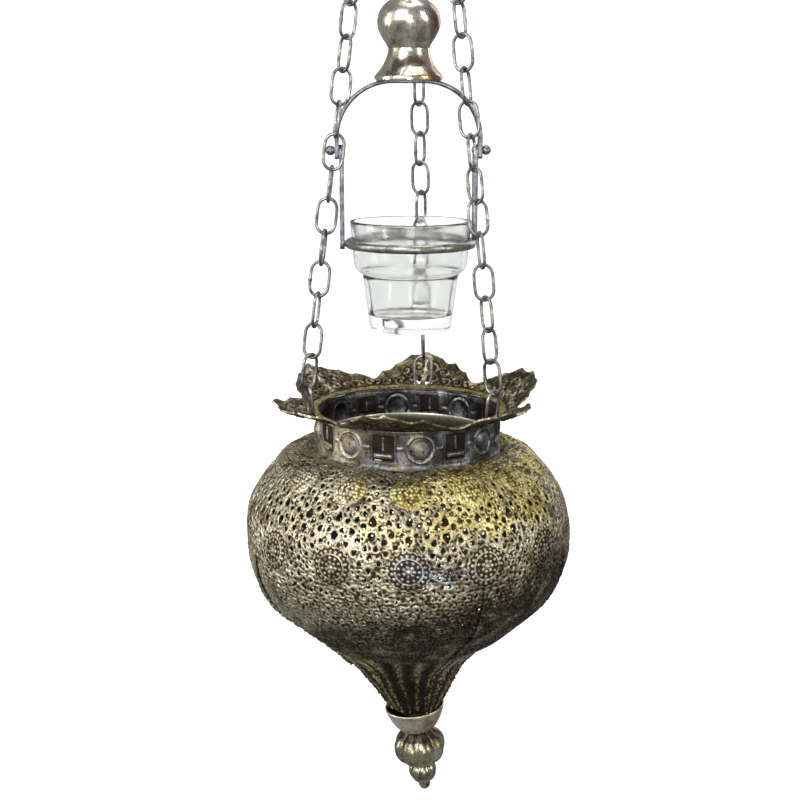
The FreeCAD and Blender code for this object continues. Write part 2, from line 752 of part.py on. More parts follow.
def make_collar():
    inner = "sizes.collar_radius - sizes.sheet_thickness"
    band = turned("collar_band", [(inner, "0"), ("sizes.collar_radius", "0"),
                                  ("sizes.collar_radius", "sizes.collar_height"), (inner, "sizes.collar_height")])
    place(band, z="-sizes.collar_top_depth - sizes.collar_height")
    hoop_inner = f"{inner} - sizes.sheet_thickness"
    hoop = turned("inner_hoop", [(hoop_inner, "0"), (inner, "0"), (inner, "sizes.hoop_height"),
                                 (hoop_inner, "sizes.hoop_height")])
    place(hoop, z="-sizes.collar_top_depth - sizes.collar_height")


def bowl_outline(inset):
    """The bowl's outline as a curve, moved inward by an inset, and its points. Its joints stay level."""
    points = [Vector(radius, 0, -depth) for radius, depth in BOWL_OUTLINE]
    last = len(points) - 1
    moved = []
    for index, point in enumerate(points):
        along = points[min(index + 1, last)] - points[max(index - 1, 0)]
        inward = Vector(along.z, 0, -along.x).normalize()
        if index == 0:
            inward = -UP
        elif index in (EQUATOR_POINT, TAIL_POINT, last):
            inward = Vector(inward.x, 0, 0) / inward.x ** 2
        moved.append(point + inward * inset)
    curve = Part.BSplineCurve()
    curve.interpolate(moved)
    return curve, moved


def bowl_section(first, last):
    """The face between the bowl's outer and inner outlines, from one outline point to another."""
    edges = []
    ends = []
    for inset in (0, size("bowl_thickness")):
        curve, points = bowl_outline(inset)
        edges.append(curve.toShape(curve.parameter(points[first]), curve.parameter(points[last])))
        ends.append((points[first], points[last]))
    caps = [Part.LineSegment(ends[0][side], ends[1][side]).toShape() for side in (0, 1)]
    return Part.Face(Part.Wire(Part.__sortEdges__(edges + caps)))


def make_bowl():
    upper = bowl_section(0, EQUATOR_POINT)
    feature("bowl_upper_shell", upper.revolve(Vector(), UP, 360))

    lower = bowl_section(EQUATOR_POINT, TAIL_POINT)
    count = int(size("gore_count"))
    for number in range(count):
        start = size("gore_first_azimuth") + number * 360 / count
        gore = lower.revolve(Vector(), UP, 360 / count - size("gore_gap"))
        feature(f"lower_gore_{number + 1}", gore, Placement(Vector(), Rotation(UP, start)))

    tail = bowl_section(TAIL_POINT, len(BOWL_OUTLINE) - 1).revolve(Vector(), UP, 360)
    lean = Matrix()
    lean.A13 = -math.tan(math.radians(size("tail_lean")))
    lean.A14 = lean.A13 * size("tail_depth")
    below = Part.makeBox(100, 100, 50, Vector(-50, -50, -size("cup_along") - size("cup_insert") - 50))
    below.Placement = Placement(Vector(0, 0, -size("tail_depth")),
                                Rotation(Vector(0, -1, 0), size("tail_lean"))) * below.Placement
    feature("tail_cone", tail.transformGeometry(lean).cut(below))


# ---- bottom cup and finial ----

def make_finial():
    rod = "sizes.finial_rod_radius"
    wall = "sizes.sheet_thickness"
    cup_foot = "(sizes.cup_along + sizes.cup_height)"
    cheek = ("sizes.cup_radius * 0.9", "sizes.cup_height * 0.45")
    cup = turned("bottom_cup", [
        (rod, "0"), ("sizes.cup_neck_radius", "0", cheek), ("sizes.cup_radius", "sizes.cup_height"),
        (f"sizes.cup_radius - {wall}", "sizes.cup_height", (f"{cheek[0]} - {wall}", f"{cheek[1]} + {wall} * 0.7")),
        ("sizes.cup_neck_radius", wall), (rod, wall)])
    place_on_tail(cup, cup_foot)

    inner_washer = washer("finial_washer", rod, "0")
    washer_foot = f"{cup_foot} - {wall}"
    place_on_tail(inner_washer, washer_foot)
    nut = hex_prism(size("nut_flat_radius"), size("nut_height"), size("finial_rod_radius"), 0)
    nut_item = feature("finial_nut", nut)
    place_on_tail(nut_item, f"{washer_foot} - sizes.washer_thickness")

    ball_foot = f"({cup_foot} + sizes.finial_ball_height)"
    ball = turned("finial_ball", [
        (rod, "0"), ("sizes.finial_ball_radius * 0.45", "0",
                     ("sizes.finial_ball_radius", "sizes.finial_ball_height / 2")),
        ("sizes.finial_ball_radius * 0.5", "sizes.finial_ball_height"), (rod, "sizes.finial_ball_height")])
    place_on_tail(ball, ball_foot)

    bead_foot = f"{ball_foot} + sizes.finial_bead_height"
    bead = turned("finial_bead", [
        (rod, "0"), ("sizes.finial_bead_radius * 0.5", "0",
                     ("sizes.finial_bead_radius", "sizes.finial_bead_height * 0.55")),
        ("sizes.finial_bead_radius * 0.6", "sizes.finial_bead_height"), (rod, "sizes.finial_bead_height")])
    place_on_tail(bead, bead_foot)

    tip_height = "sizes.finial_tip_height"
    tip = turned("finial_tip", [
        ("0", "0", ("sizes.finial_tip_radius * 0.8", f"{tip_height} * 0.3")),
        ("sizes.finial_tip_radius", tip_height), (rod, tip_height), (rod, f"{tip_height} * 0.4"),
        ("0", f"{tip_height} * 0.4")])
    tip_foot = f"{bead_foot} + {tip_height}"
    place_on_tail(tip, tip_foot)

    rod_top = f"({washer_foot} - sizes.washer_thickness - sizes.nut_height - 1.5)"
    rod_foot = f"({tip_foot} - {tip_height} * 0.45)"
    stud = turned("finial_rod", [("0", "0"), (rod, "0"), (rod, f"{rod_foot} - {rod_top}"),
                                 ("0", f"{rod_foot} - {rod_top}")])
    place_on_tail(stud, rod_foot)


def check_and_write():
    doc.recompute()
    failed = [item.Name for item in doc.Objects if {"Invalid", "Error"} & set(item.State)]
    if failed:
        raise RuntimeError(f"failed objects: {failed}")
    os.makedirs("parts", exist_ok=True)
    for item in PIECES:
        if item.Shape.isNull() or not item.Shape.isValid() or not item.Shape.Solids:
            raise RuntimeError(f"{item.Label} has no valid solid")
        item.Shape.exportStep(f"parts/{item.Label}.step")
        print(item.Label, len(item.Shape.Solids), round(item.Shape.Volume, 1))


def main():
    make_suspension_link()
    make_swivel()
    make_crown()
    make_chains()
    drill_crown()
    make_spindle()
    make_arch()
    make_pivot_rivet("left_pivot_rivet", 180)
    make_pivot_rivet("right_pivot_rivet", 0)
    make_arm("left_arm", -1, "sizes.arm_bottom_depth")
    make_arm("right_arm", 1, "(sizes.ring_depth - sizes.ring_wire_radius)")
    make_holder_ring()
    make_glass_cup()
    make_petal_rim()
    make_collar()
    make_bowl()
    make_finial()
    check_and_write()


main()
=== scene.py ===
"""Sanctuary lamp: a pierced onion bowl on three chains, with a glass light cup hung in its mouth.

Shapes are worked out in millimetres in the lamp's own frame and set down in metres.
"""
import math

import bpy
import numpy as np
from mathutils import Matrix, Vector


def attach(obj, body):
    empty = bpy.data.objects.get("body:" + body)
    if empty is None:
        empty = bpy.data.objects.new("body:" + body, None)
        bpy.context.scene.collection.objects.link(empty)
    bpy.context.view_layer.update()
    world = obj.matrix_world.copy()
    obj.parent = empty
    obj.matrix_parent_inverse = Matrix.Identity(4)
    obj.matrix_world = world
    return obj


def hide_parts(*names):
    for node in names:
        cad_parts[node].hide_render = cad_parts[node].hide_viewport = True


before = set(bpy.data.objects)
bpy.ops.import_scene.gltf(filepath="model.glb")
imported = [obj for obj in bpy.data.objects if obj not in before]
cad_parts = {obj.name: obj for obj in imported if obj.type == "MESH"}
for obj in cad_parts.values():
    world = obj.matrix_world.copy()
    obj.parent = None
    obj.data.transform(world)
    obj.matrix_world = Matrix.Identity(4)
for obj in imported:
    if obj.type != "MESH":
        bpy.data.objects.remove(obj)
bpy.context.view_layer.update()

MM = 0.001
RANDOM = np.random.default_rng(11)
HANGER_YAW = 4.0  # how far the spindle, arch and light cup are turned about the lamp's axis
BACK_AZIMUTH, LEFT_AZIMUTH, RIGHT_AZIMUTH = 80.7, 200.7, 320.7

# Outer outline of the bowl, from the collar down into the bottom cup: radius, depth.
BOWL_OUTLINE = [
    (51.0, 409.5), (59.0, 410.2), (66.0, 412.2), (72.5, 416.6), (81.6, 427.0), (89.6, 441.0),
    (91.8, 457.0), (90.0, 475.0), (80.5, 493.0), (62.8, 511.0), (45.8, 525.0),
    (35.0, 536.0), (25.8, 551.0), (18.2, 564.0), (16.5, 568.0), (16.3, 576.0),
]
EQUATOR_DEPTH, TAIL_DEPTH, TAIL_LEAN = 457.0, 536.0, 6.8


# ---- shaders ----

class Shader:
    """A procedural material, with short names for the nodes it uses."""

    def __init__(self, name, **settings):
        self.material = bpy.data.materials.new(name)
        self.material.use_nodes = True
        self.tree = self.material.node_tree
        self.surface = self.tree.nodes["Principled BSDF"]
        self.place = self.node("ShaderNodeTexCoord").outputs["Object"]
        self.set(**settings)

    def set(self, **settings):
        for key, value in settings.items():
            self.feed(self.surface, key.replace("_", " ").title().replace("Ior", "IOR"), value)

    def feed(self, node, socket, value):
        if isinstance(value, bpy.types.NodeSocket):
            self.tree.links.new(value, node.inputs[socket])
        elif isinstance(value, tuple) and len(value) == 3 and node.inputs[socket].type == "RGBA":
            node.inputs[socket].default_value = (*value, 1)
        else:
            node.inputs[socket].default_value = value

    def node(self, kind, inputs=None, **settings):
        node = self.tree.nodes.new(kind)
        for key, value in settings.items():
            setattr(node, key, value)
        for socket, value in (inputs or {}).items():
            self.feed(node, socket, value)
        return node

    def noise(self, scale, detail=5.0, rough=0.6, distortion=0.0):
        node = self.node("ShaderNodeTexNoise", {"Vector": self.place, "Scale": scale, "Detail": detail,
                                                "Roughness": rough, "Distortion": distortion})
        return node.outputs["Fac"]

    def cells(self, scale, feature="F1"):
        node = self.node("ShaderNodeTexVoronoi", {"Vector": self.place, "Scale": scale}, feature=feature)
        return node.outputs["Distance"]

    def attribute(self, name):
        return self.node("ShaderNodeAttribute", attribute_name=name).outputs["Fac"]

    def ramp(self, factor, stops):
        node = self.node("ShaderNodeValToRGB", {"Fac": factor})
        elements = node.color_ramp.elements
        while len(elements) < len(stops):
            elements.new(0.5)
        for element, (position, colour) in zip(elements, stops):
            element.position = position
            element.color = (*colour, 1) if isinstance(colour, tuple) else (colour, colour, colour, 1)
        return node.outputs["Color"]

    def blend(self, factor, first, second, mode="MIX"):
        node = self.node("ShaderNodeMix", {0: factor, 6: first, 7: second}, data_type="RGBA", blend_type=mode)
        return node.outputs[2]

    def maths(self, operation, first, second=0.0):
        return self.node("ShaderNodeMath", {0: first, 1: second}, operation=operation).outputs[0]

    def span(self, value, low, high, start=0.0, finish=1.0):
        limits = {"Value": value, "From Min": low, "From Max": high, "To Min": start, "To Max": finish}
        return self.node("ShaderNodeMapRange", limits, interpolation_type="SMOOTHSTEP").outputs["Result"]

    def axis(self, letter):
        return self.node("ShaderNodeSeparateXYZ", {"Vector": self.place}).outputs[letter]

    def bump(self, height, distance, strength=1.0):
        node = self.node("ShaderNodeBump", {"Height": height, "Distance": distance, "Strength": strength})
        self.feed(self.surface, "Normal", node.outputs["Normal"])


def aged_metal(name, light, middle, dark, grain, rough=(0.22, 0.5), grime=0.5, gold=0.0, painted_reflection_x=None):
    """Old plated metal: cloudy tarnish, fine dark specks, and a surface that is never quite smooth.

    The last argument is where, along +X in metres, a reddish-brown painted reflection begins on that side.
    """
    shader = Shader(name, metallic=1.0)
    cloud = shader.noise(grain, 7, 0.62, 0.4)
    speck = shader.noise(grain * 9, 3, 0.7)
    colour = shader.ramp(cloud, [(0.32, dark), (0.47, middle), (0.68, light)])
    if gold:
        patch = shader.noise(grain * 0.7, 4, 0.6, 1.0)
        colour = shader.blend(shader.span(patch, 0.5, 0.62, 0.0, gold), colour, (0.80, 0.60, 0.22))
        colour = shader.blend(shader.span(patch, 0.40, 0.33, 0.0, 0.8), colour, (0.16, 0.10, 0.07))
    if painted_reflection_x is not None:
        # A painted reddish-brown reflection on the +X side, from the given place outwards.
        edge = shader.maths("ADD", shader.axis("X"), shader.maths("MULTIPLY", cloud, 0.012))
        colour = shader.blend(shader.span(edge, painted_reflection_x + 0.006, painted_reflection_x + 0.011, 0.0, 0.8), colour,
                              (0.24, 0.085, 0.045))
    colour = shader.blend(shader.span(speck, 0.36, 0.52, grime, 0.0), colour, dark)
    # Painted shadow where a mesh marks it: inside the bottom cup and on the finial ball under it.
    colour = shader.blend(shader.attribute("painted_cup_shadow"), colour, (0.014, 0.011, 0.008))
    shader.set(base_color=colour, roughness=shader.span(cloud, 0.3, 0.7, rough[1], rough[0]))
    shader.bump(shader.blend(0.35, shader.noise(grain * 3, 4), speck), 0.00012)
    return shader.material


PALE_TONES = ((0.15, 0.125, 0.07), (0.47, 0.42, 0.29), (0.72, 0.67, 0.51))
GILT_TONES = ((0.19, 0.14, 0.035), (0.58, 0.48, 0.17), (0.88, 0.79, 0.41))
SILVER_TONES = ((0.13, 0.13, 0.14), (0.42, 0.43, 0.45), (0.74, 0.75, 0.78))
BRONZE_TONES = ((0.016, 0.014, 0.011), (0.10, 0.08, 0.048), (0.50, 0.43, 0.30))
BLACK_TONES = ((0.02, 0.02, 0.024), (0.09, 0.092, 0.105), (0.36, 0.38, 0.42))
ANTIQUE_TONES = ((0.02, 0.017, 0.01), (0.12, 0.096, 0.052), (0.46, 0.40, 0.25))


def chased_metal(name, coarse=26, black_tones=BRONZE_TONES):
    """Embossed sheet, tarnished and painted with shade in its hollows, worn and painted with a highlight
    where raised, gilt, bright or dark by area.
    """
    shader = Shader(name, metallic=1.0)
    relief = shader.attribute("relief")
    cloud = shader.noise(coarse, 5, 0.6, 0.6)
    mottle = shader.noise(coarse * 4, 6, 0.68, 0.3)
    speck = shader.noise(950, 2, 0.6)
    wander = shader.blend(0.45, cloud, mottle)
    stray = shader.maths("MULTIPLY", shader.maths("SUBTRACT", wander, 0.5), 2.6)

    def tones(positions, colours):
        return shader.ramp(mottle, list(zip(positions, colours)))

    def area(label, low, high):
        return shader.span(shader.maths("ADD", shader.attribute(label), stray), low, high)

    colour = shader.blend(area("gilding", 0.3, 0.6), tones((0.34, 0.48, 0.64), PALE_TONES),
                          tones((0.34, 0.48, 0.64), GILT_TONES))
    colour = shader.blend(area("brightness", 0.35, 0.75), colour, tones((0.32, 0.5, 0.66), SILVER_TONES))
    # The dark area: patina, and on the bowl also painted shade.
    black = area("patina_and_shade", 0.25, 0.8)
    colour = shader.blend(black, colour, tones((0.34, 0.5, 0.68), black_tones))
    # Dark where the relief is low: tarnish in the hollows, and painted shade where the relief is lowered at
    # gore laps and in the tail's pleats.
    colour = shader.blend(shader.span(relief, 0.16, 0.52, 0.95, 0.0), colour, (0.025, 0.02, 0.012))
    # Light where the relief is high: worn plating on the crests, and a painted highlight.
    colour = shader.blend(shader.span(relief, 0.6, 0.95, 0.0, 0.4), colour, (0.88, 0.82, 0.66))
    pit = shader.noise(430, 3, 0.65)
    colour = shader.blend(shader.span(pit, 0.37, 0.43, 0.85, 0.0), colour, (0.035, 0.026, 0.016))
    colour = shader.blend(shader.span(speck, 0.3, 0.42, 0.75, 0.0), colour, (0.03, 0.022, 0.014))
    rough = shader.span(relief, 0.2, 0.8, 0.6, 0.42)
    polish = shader.maths("MULTIPLY", black, 0.08)
    shader.set(base_color=colour, roughness=shader.maths("SUBTRACT", rough, polish))
    shader.bump(shader.blend(0.5, shader.noise(700, 3, 0.7), shader.cells(620)), 0.00025)
    return shader.material


def clear_glass(name):
    shader = Shader(name, base_color=(0.79, 0.80, 0.79), transmission_weight=1.0, ior=1.46,
                    specular_ior_level=0.5)
    shader.set(roughness=shader.span(shader.noise(160, 4), 0.4, 0.7, 0.06, 0.2))
    shader.bump(shader.noise(45, 2, 0.4), 0.0006, 0.35)
    return shader.material


# Each plated metal: its light, middle and dark tones, the grain of its tarnish and its roughness.
SILVER = aged_metal("aged_silver", (0.93, 0.91, 0.84), (0.72, 0.67, 0.55), (0.24, 0.19, 0.12),
                    70, (0.14, 0.36), gold=0.7, painted_reflection_x=0.008)
BRIGHT = aged_metal("bright_silver", (0.95, 0.94, 0.89), (0.74, 0.71, 0.61), (0.16, 0.15, 0.14),
                    62, (0.16, 0.38), grime=0.55, gold=0.25, painted_reflection_x=0.0085)
PEWTER = aged_metal("pewter_wire", (0.46, 0.46, 0.45), (0.25, 0.25, 0.24), (0.07, 0.065, 0.06),
                    220, (0.26, 0.5))
STEEL = aged_metal("dull_steel", (0.44, 0.46, 0.51), (0.25, 0.265, 0.30), (0.08, 0.08, 0.09),
                   160, (0.28, 0.48))
RING = aged_metal("silvered_ring", (0.62, 0.60, 0.54), (0.34, 0.33, 0.29), (0.09, 0.08, 0.065),
                  130, (0.24, 0.46))
BEAD = aged_metal("lobed_bead", (0.74, 0.73, 0.66), (0.36, 0.34, 0.22), (0.04, 0.035, 0.03),
                  150, (0.16, 0.36), grime=0.6, gold=0.2)
LOBED = aged_metal("lobed_finial", (0.78, 0.76, 0.64), (0.44, 0.41, 0.26), (0.05, 0.045, 0.03),
                   130, (0.2, 0.42), grime=0.6, gold=0.3)
PALE = aged_metal("pale_cup", (0.90, 0.86, 0.72), (0.74, 0.69, 0.54), (0.34, 0.28, 0.17), 60, (0.34, 0.5))
FASTENER = aged_metal("plain_fastener", (0.6, 0.6, 0.6), (0.42, 0.42, 0.42), (0.14, 0.13, 0.12), 200)
CHASED = chased_metal("chased_filigree")
BLACKENED = chased_metal("blackened_collar", 34, BLACK_TONES)
ANTIQUE = chased_metal("antique_petals", 40, ANTIQUE_TONES)
GLASS = clear_glass("clear_glass")


# ---- helpers ----

def fade(value, start, span):
    """Climbs from 0 at `start` to 1 over `span`, which may be negative."""
    return np.clip((value - start) / span, 0, 1)


def polar(radius, azimuth, height):
    """Points about the vertical axis, for numbers or for arrays of one shape."""
    turn = np.radians(azimuth)
    return np.stack([radius * np.cos(turn), radius * np.sin(turn), height], -1)


def wave(azimuth, count, phase=0.0):
    """A sine with `count` crests round the lamp."""
    return np.sin(np.radians(azimuth) * count + phase)


def mound(distance, width):
    """A smooth rise of 1 that falls away over `width` on both sides."""
    return np.exp(-(distance / width) ** 2)


def piece(name, vertices, faces, material, body, node, slot, flat=None):
    """A mesh from points in millimetres. `flat` marks the faces that keep their edges crisp."""
    mesh = bpy.data.meshes.new(name)
    mesh.from_pydata((np.asarray(vertices) * MM).tolist(), [], faces)
    smooth = np.ones(len(mesh.polygons), bool)
    if flat is not None:
        smooth[flat] = False
    mesh.polygons.foreach_set("use_smooth", smooth)
    mesh.materials.append(material)
    item = bpy.data.objects.new(name, mesh)
    bpy.context.collection.objects.link(item)
    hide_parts(node)
    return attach(item, body)


def smooth_line(points, steps=8):
    """A smooth curve through the points."""
    points = np.asarray(points, float)
    last = len(points) - 1
    t = np.linspace(0, 1, steps, endpoint=False)[:, None]
    line = []
    for index in range(last):
        before, start, finish, after = points[[max(index - 1, 0), index, index + 1, min(index + 2, last)]]
        square = 2 * before - 5 * start + 4 * finish - after
        cube = 3 * start - before - 3 * finish + after
        line.append(0.5 * (2 * start + (finish - before) * t + square * t ** 2 + cube * t ** 3))
    return np.vstack(line + [points[-1:]])


def rings_to_faces(rings, sides, closed_ends=True, closed_loop=False):
    """Faces of a tube of rings, and its two end caps."""
    faces = []
    for ring in range(rings if closed_loop else rings - 1):
        low, high = ring * sides, (ring + 1) % rings * sides
        for side in range(sides):
            after = (side + 1) % sides
            faces.append((low + side, low + after, high + after, high + side))
    if closed_ends and not closed_loop:
        faces.append(tuple(reversed(range(sides))))
        faces.append(tuple(range((rings - 1) * sides, rings * sides)))
    return faces


def turned_points(outline, sides):
    """Vertices and faces of a closed outline of (radius, height) turned about the vertical axis."""
    outline = np.asarray(outline, float)
    turn = np.linspace(0, 2 * math.pi, sides, endpoint=False)
    vertices, rings = [], []
    for radius, height in outline:
        if radius < 1e-6:
            rings.append([len(vertices)] * sides)
            vertices.append((0, 0, height))
        else:
            rings.append(list(range(len(vertices), len(vertices) + sides)))
            vertices += [(radius * math.cos(angle), radius * math.sin(angle), height) for angle in turn]
    faces = []
    for low, high in zip(rings, rings[1:] + rings[:1]):
        for side in range(sides):
            after = (side + 1) % sides
            corners = [low[side], low[after], high[after], high[side]]
            unique = list(dict.fromkeys(corners))
            if len(unique) > 2:
                faces.append(tuple(unique))
    return np.array(vertices), faces


def rounded(outline, radius, steps=3):
    """The outline with the corners on its positive side rounded off."""
    outline = np.asarray(outline, float)
    result = []
    for before, corner, after in zip(np.roll(outline, 1, 0), outline, np.roll(outline, -1, 0)):
        if corner[0] < 1e-6:
            result.append(corner)
            continue
        reach = min(radius, 0.45 * np.linalg.norm(before - corner), 0.45 * np.linalg.norm(after - corner))
        start = corner + (before - corner) / max(np.linalg.norm(before - corner), 1e-9) * reach
        finish = corner + (after - corner) / max(np.linalg.norm(after - corner), 1e-9) * reach
        for t in np.linspace(0, 1, steps):
            result.append((1 - t) ** 2 * start + 2 * t * (1 - t) * corner + t ** 2 * finish)
    return np.array(result)


def yawed(vertices, degrees):
    turn = math.radians(degrees)
    cosine, sine = math.cos(turn), math.sin(turn)
    rotation = np.array([[cosine, -sine, 0], [sine, cosine, 0], [0, 0, 1]])
    return np.asarray(vertices) @ rotation.T


def turned(name, outline, material, body, node, slot, foot, sides, spin=0, wobble=0.0):
    """A turned piece. `wobble` leaves the shallow unevenness of hand work."""
    vertices, faces = turned_points(outline, sides)
    x, y, z = vertices.T
    angle = np.arctan2(y, x)
    swell = wobble * (np.sin(2 * angle + z * 0.21) + 0.6 * np.sin(3 * angle - z * 0.3))
    vertices[:, :2] *= (1 + swell / np.maximum(np.hypot(x, y), 4))[:, None]
    return piece(name, yawed(vertices, spin) + (0, 0, foot), faces, material, body, node, slot)


def on_tail(vertices, along):
    """Sets points on the leaning axis of the tail, their own origin that far below the tail joint."""
    lean = math.radians(TAIL_LEAN)
    turned_x = vertices[:, 0] * math.cos(lean) - vertices[:, 2] * math.sin(lean)
    turned_z = vertices[:, 0] * math.sin(lean) + vertices[:, 2] * math.cos(lean)
    return np.column_stack([turned_x + along * math.sin(lean), vertices[:, 1],
                            turned_z - TAIL_DEPTH - along * math.cos(lean)])


def tube(path, radius, sides, closed=False):
    """Vertices and faces of a round wire along a path. `radius` is one number or one for each point."""
    path = np.asarray(path, float)
    count = len(path)
    radius = np.broadcast_to(radius, count)
    if closed:
        along = np.roll(path, -1, 0) - np.roll(path, 1, 0)
    else:
        along = np.gradient(path, axis=0)
    along /= np.linalg.norm(along, axis=1)[:, None]
    side = np.cross(along[0], (0, 0, 1.0))
    if np.linalg.norm(side) < 0.1:
        side = np.cross(along[0], (0, 1.0, 0))
    vertices = []
    turn = np.linspace(0, 2 * math.pi, sides, endpoint=False)
    for point, direction, size in zip(path, along, radius):
        side = side - direction * (side @ direction)
        side /= np.linalg.norm(side)
        up = np.cross(direction, side)
        vertices.append(point + size * (np.outer(np.cos(turn), side) + np.outer(np.sin(turn), up)))
    return np.vstack(vertices), rings_to_faces(count, sides, not closed, closed)


def strap(path, width, thickness, corner=0.6):
    """A flat strip with rounded edges along a path in the XZ plane, its width along Y."""
    path = np.asarray(path, float)
    along = np.gradient(path, axis=0)
    along /= np.linalg.norm(along, axis=1)[:, None]
    across = np.array([0.0, 1.0, 0.0])
    section = rounded([(-width / 2, -thickness / 2), (width / 2, -thickness / 2), (width / 2, thickness / 2),
                       (-width / 2, thickness / 2)], corner)
    vertices = []
    for point, direction in zip(path, along):
        normal = np.cross(direction, across)
        vertices.append(point + np.outer(section[:, 0], across) + np.outer(section[:, 1], normal))
    return np.vstack(vertices), rings_to_faces(len(path), len(section))


def joined(parts):
    """Several (vertices, faces) pairs as one."""
    vertices, faces, start = [], [], 0
    for points, corners in parts:
        vertices.append(points)
        faces += [tuple(index + start for index in face) for face in corners]
        start += len(points)
    return np.vstack(vertices), faces


def mark(item, label, values):
    """Gives each vertex of a mesh a share that its material reads."""
    layer = item.data.attributes.new(label, "FLOAT", "POINT")
    layer.data.foreach_set("value", np.asarray(values, np.float32))


# ---- camera, lights and floor ----

def add_camera():
    camera = bpy.data.objects.new("camera", bpy.data.cameras.new("camera"))
    camera.location = (-0.0046, -0.676, -0.225)
    camera.rotation_euler = (math.radians(90 - 13.21), 0, 0)
    camera.data.lens = 55.6
    camera.data.sensor_width = 36
    bpy.context.collection.objects.link(camera)
    bpy.context.scene.camera = camera


# Area lights: place, the height they aim at on the lamp's axis, size, power and colour.
LIGHTS = {
    "key": ((-0.9, -1.5, 0.5), -0.35, (1.1, 1.3), 30, (1, 0.985, 0.96)),
    "front": ((0.1, -1.6, -0.3), -0.4, (0.25, 0.9), 6, (1, 1, 1)),
    "fill": ((1.5, -0.9, 0.2), -0.4, (0.4, 1.0), 12, (1, 0.96, 0.88)),
    "side": ((-1.6, -0.2, -0.1), -0.4, (0.5, 1.2), 11, (1, 0.98, 0.93)),
    "back": ((0.9, 1.3, 0.2), -0.4, (0.5, 1.0), 4, (1, 1, 1)),
    "top": ((0.1, 0.1, 1.2), -0.4, (1.0, 1.0), 12, (1, 1, 1)),
}
FLOOR_HEIGHT, FLOOR_RADIUS, WALL_BEND, WALL_TOP = -0.95, 1.3, 1.2, 4.0


def add_lights():
    for name, (place, aim, size, power, colour) in LIGHTS.items():
        light = bpy.data.objects.new(name, bpy.data.lights.new(name, "AREA"))
        light.location = place
        light.rotation_euler = (Vector((0, 0, aim)) - Vector(place)).to_track_quat("-Z", "Y").to_euler()
        light.data.shape = "RECTANGLE"
        light.data.size, light.data.size_y = size
        light.data.energy = power
        light.data.color = colour
        bpy.context.collection.objects.link(light)


def add_stage():
    """A pale round floor that curves up into a wall on all sides, and a soft grey surround."""
    line = [(FLOOR_RADIUS, FLOOR_HEIGHT)]
    line += [(FLOOR_RADIUS + WALL_BEND * math.sin(a), FLOOR_HEIGHT + WALL_BEND - WALL_BEND * math.cos(a))
             for a in np.linspace(0, math.pi / 2, 14)]
    line += [(FLOOR_RADIUS + WALL_BEND, WALL_TOP)]
    sides = 96
    around = np.linspace(0, 2 * math.pi, sides, endpoint=False)
    vertices = [(radius * math.cos(a), radius * math.sin(a), z) for radius, z in line for a in around]
    faces = rings_to_faces(len(line), sides, closed_ends=False) + [tuple(range(sides))]
    mesh = bpy.data.meshes.new("floor")
    mesh.from_pydata(vertices, [], faces)
    mesh.polygons.foreach_set("use_smooth", [True] * len(faces))
    floor = bpy.data.objects.new("floor", mesh)
    floor.visible_glossy = False
    shader = Shader("pale_floor", base_color=(0.2, 0.2, 0.2), roughness=0.9,
                    emission_color=(1, 1, 1), emission_strength=0.98)
    mesh.materials.append(shader.material)
    bpy.context.collection.objects.link(floor)

    world = bpy.data.worlds.new("studio")
    world.use_nodes = True
    background = world.node_tree.nodes["Background"].inputs
    background["Color"].default_value = (0.55, 0.56, 0.58, 1)
    background["Strength"].default_value = 0.48
    bpy.context.scene.world = world
    bpy.context.scene.view_settings.view_transform = "Standard"


# ---- chains ----

# The pitch of a link, its wire's radius and inner width, and its play in the next link and at the rim.
PITCH, WIRE, INNER_WIDTH, PLAY, RIM_PLAY = 16.77, 0.85, 8.0, 0.1, 0.12
GALVANISED = 0.03  # what the zinc coat adds to the wire's radius
SIDE_BOW, WELD_RISE = 0.28, 0.34
WELDED_SHARE = 0.4
# Where each main chain begins under the crown (radius, height), and how far it leans outwards.
CHAIN_TOP = (19.2, -71.8)
CHAIN_LEAN = 7.474
CHAIN_LINKS, HANGER_LINKS = 18, 4
HANGER_TOP = -78.7
RIM_LINK_LEAN = 1.6  # how far the rim link's lower end is nearer to the axis
# For each main chain, its azimuth and how its links are wound: (links up from the rim, degrees).
WINDING = {
    "back_chain": (BACK_AZIMUTH, [(0, 171), (6, 240), (18, 240)]),
    "left_chain": (LEFT_AZIMUTH, [(0, 111), (1, 140), (3, 168), (8, 180), (12, 226), (18, 226)]),
    "right_chain": (RIGHT_AZIMUTH, [(0, 51), (2, 45), (4, 10), (6, 15), (8, 68), (11, 62), (18, 30)]),
}


def link_mesh(weld=False):
    """An upright oval link in the XZ plane, with or without the bump of its butt weld."""
    bend = INNER_WIDTH / 2 + WIRE
    half = PITCH / 2 + WIRE + PLAY / 2 - bend
    path = [(bend, 0, height) for height in np.linspace(-half, half, 9)]
    path += [(bend * math.cos(a), 0, half + bend * math.sin(a)) for a in np.linspace(0, math.pi, 15)[1:-1]]
    path += [(-bend, 0, height) for height in np.linspace(half, -half, 9)]
    path += [(-bend * math.cos(a), 0, -half - bend * math.sin(a)) for a in np.linspace(0, math.pi, 15)[1:-1]]
    path = np.array(path)
    bow = SIDE_BOW * np.cos(np.clip(path[:, 2] / (half + bend), -1, 1) * math.pi / 2) ** 2
    path[:, 0] += np.sign(path[:, 0]) * bow * (abs(path[:, 0]) > bend * 0.7)
    radius = np.full(len(path), WIRE + GALVANISED)
    if weld:
        near = np.exp(-((path[:, 2] + 0.8) / 0.75) ** 2) * (path[:, 0] > 0)
        radius = radius + WELD_RISE * near
    return tube(path, radius, 12, closed=True)


LINK, WELDED_LINK = link_mesh(), link_mesh(True)


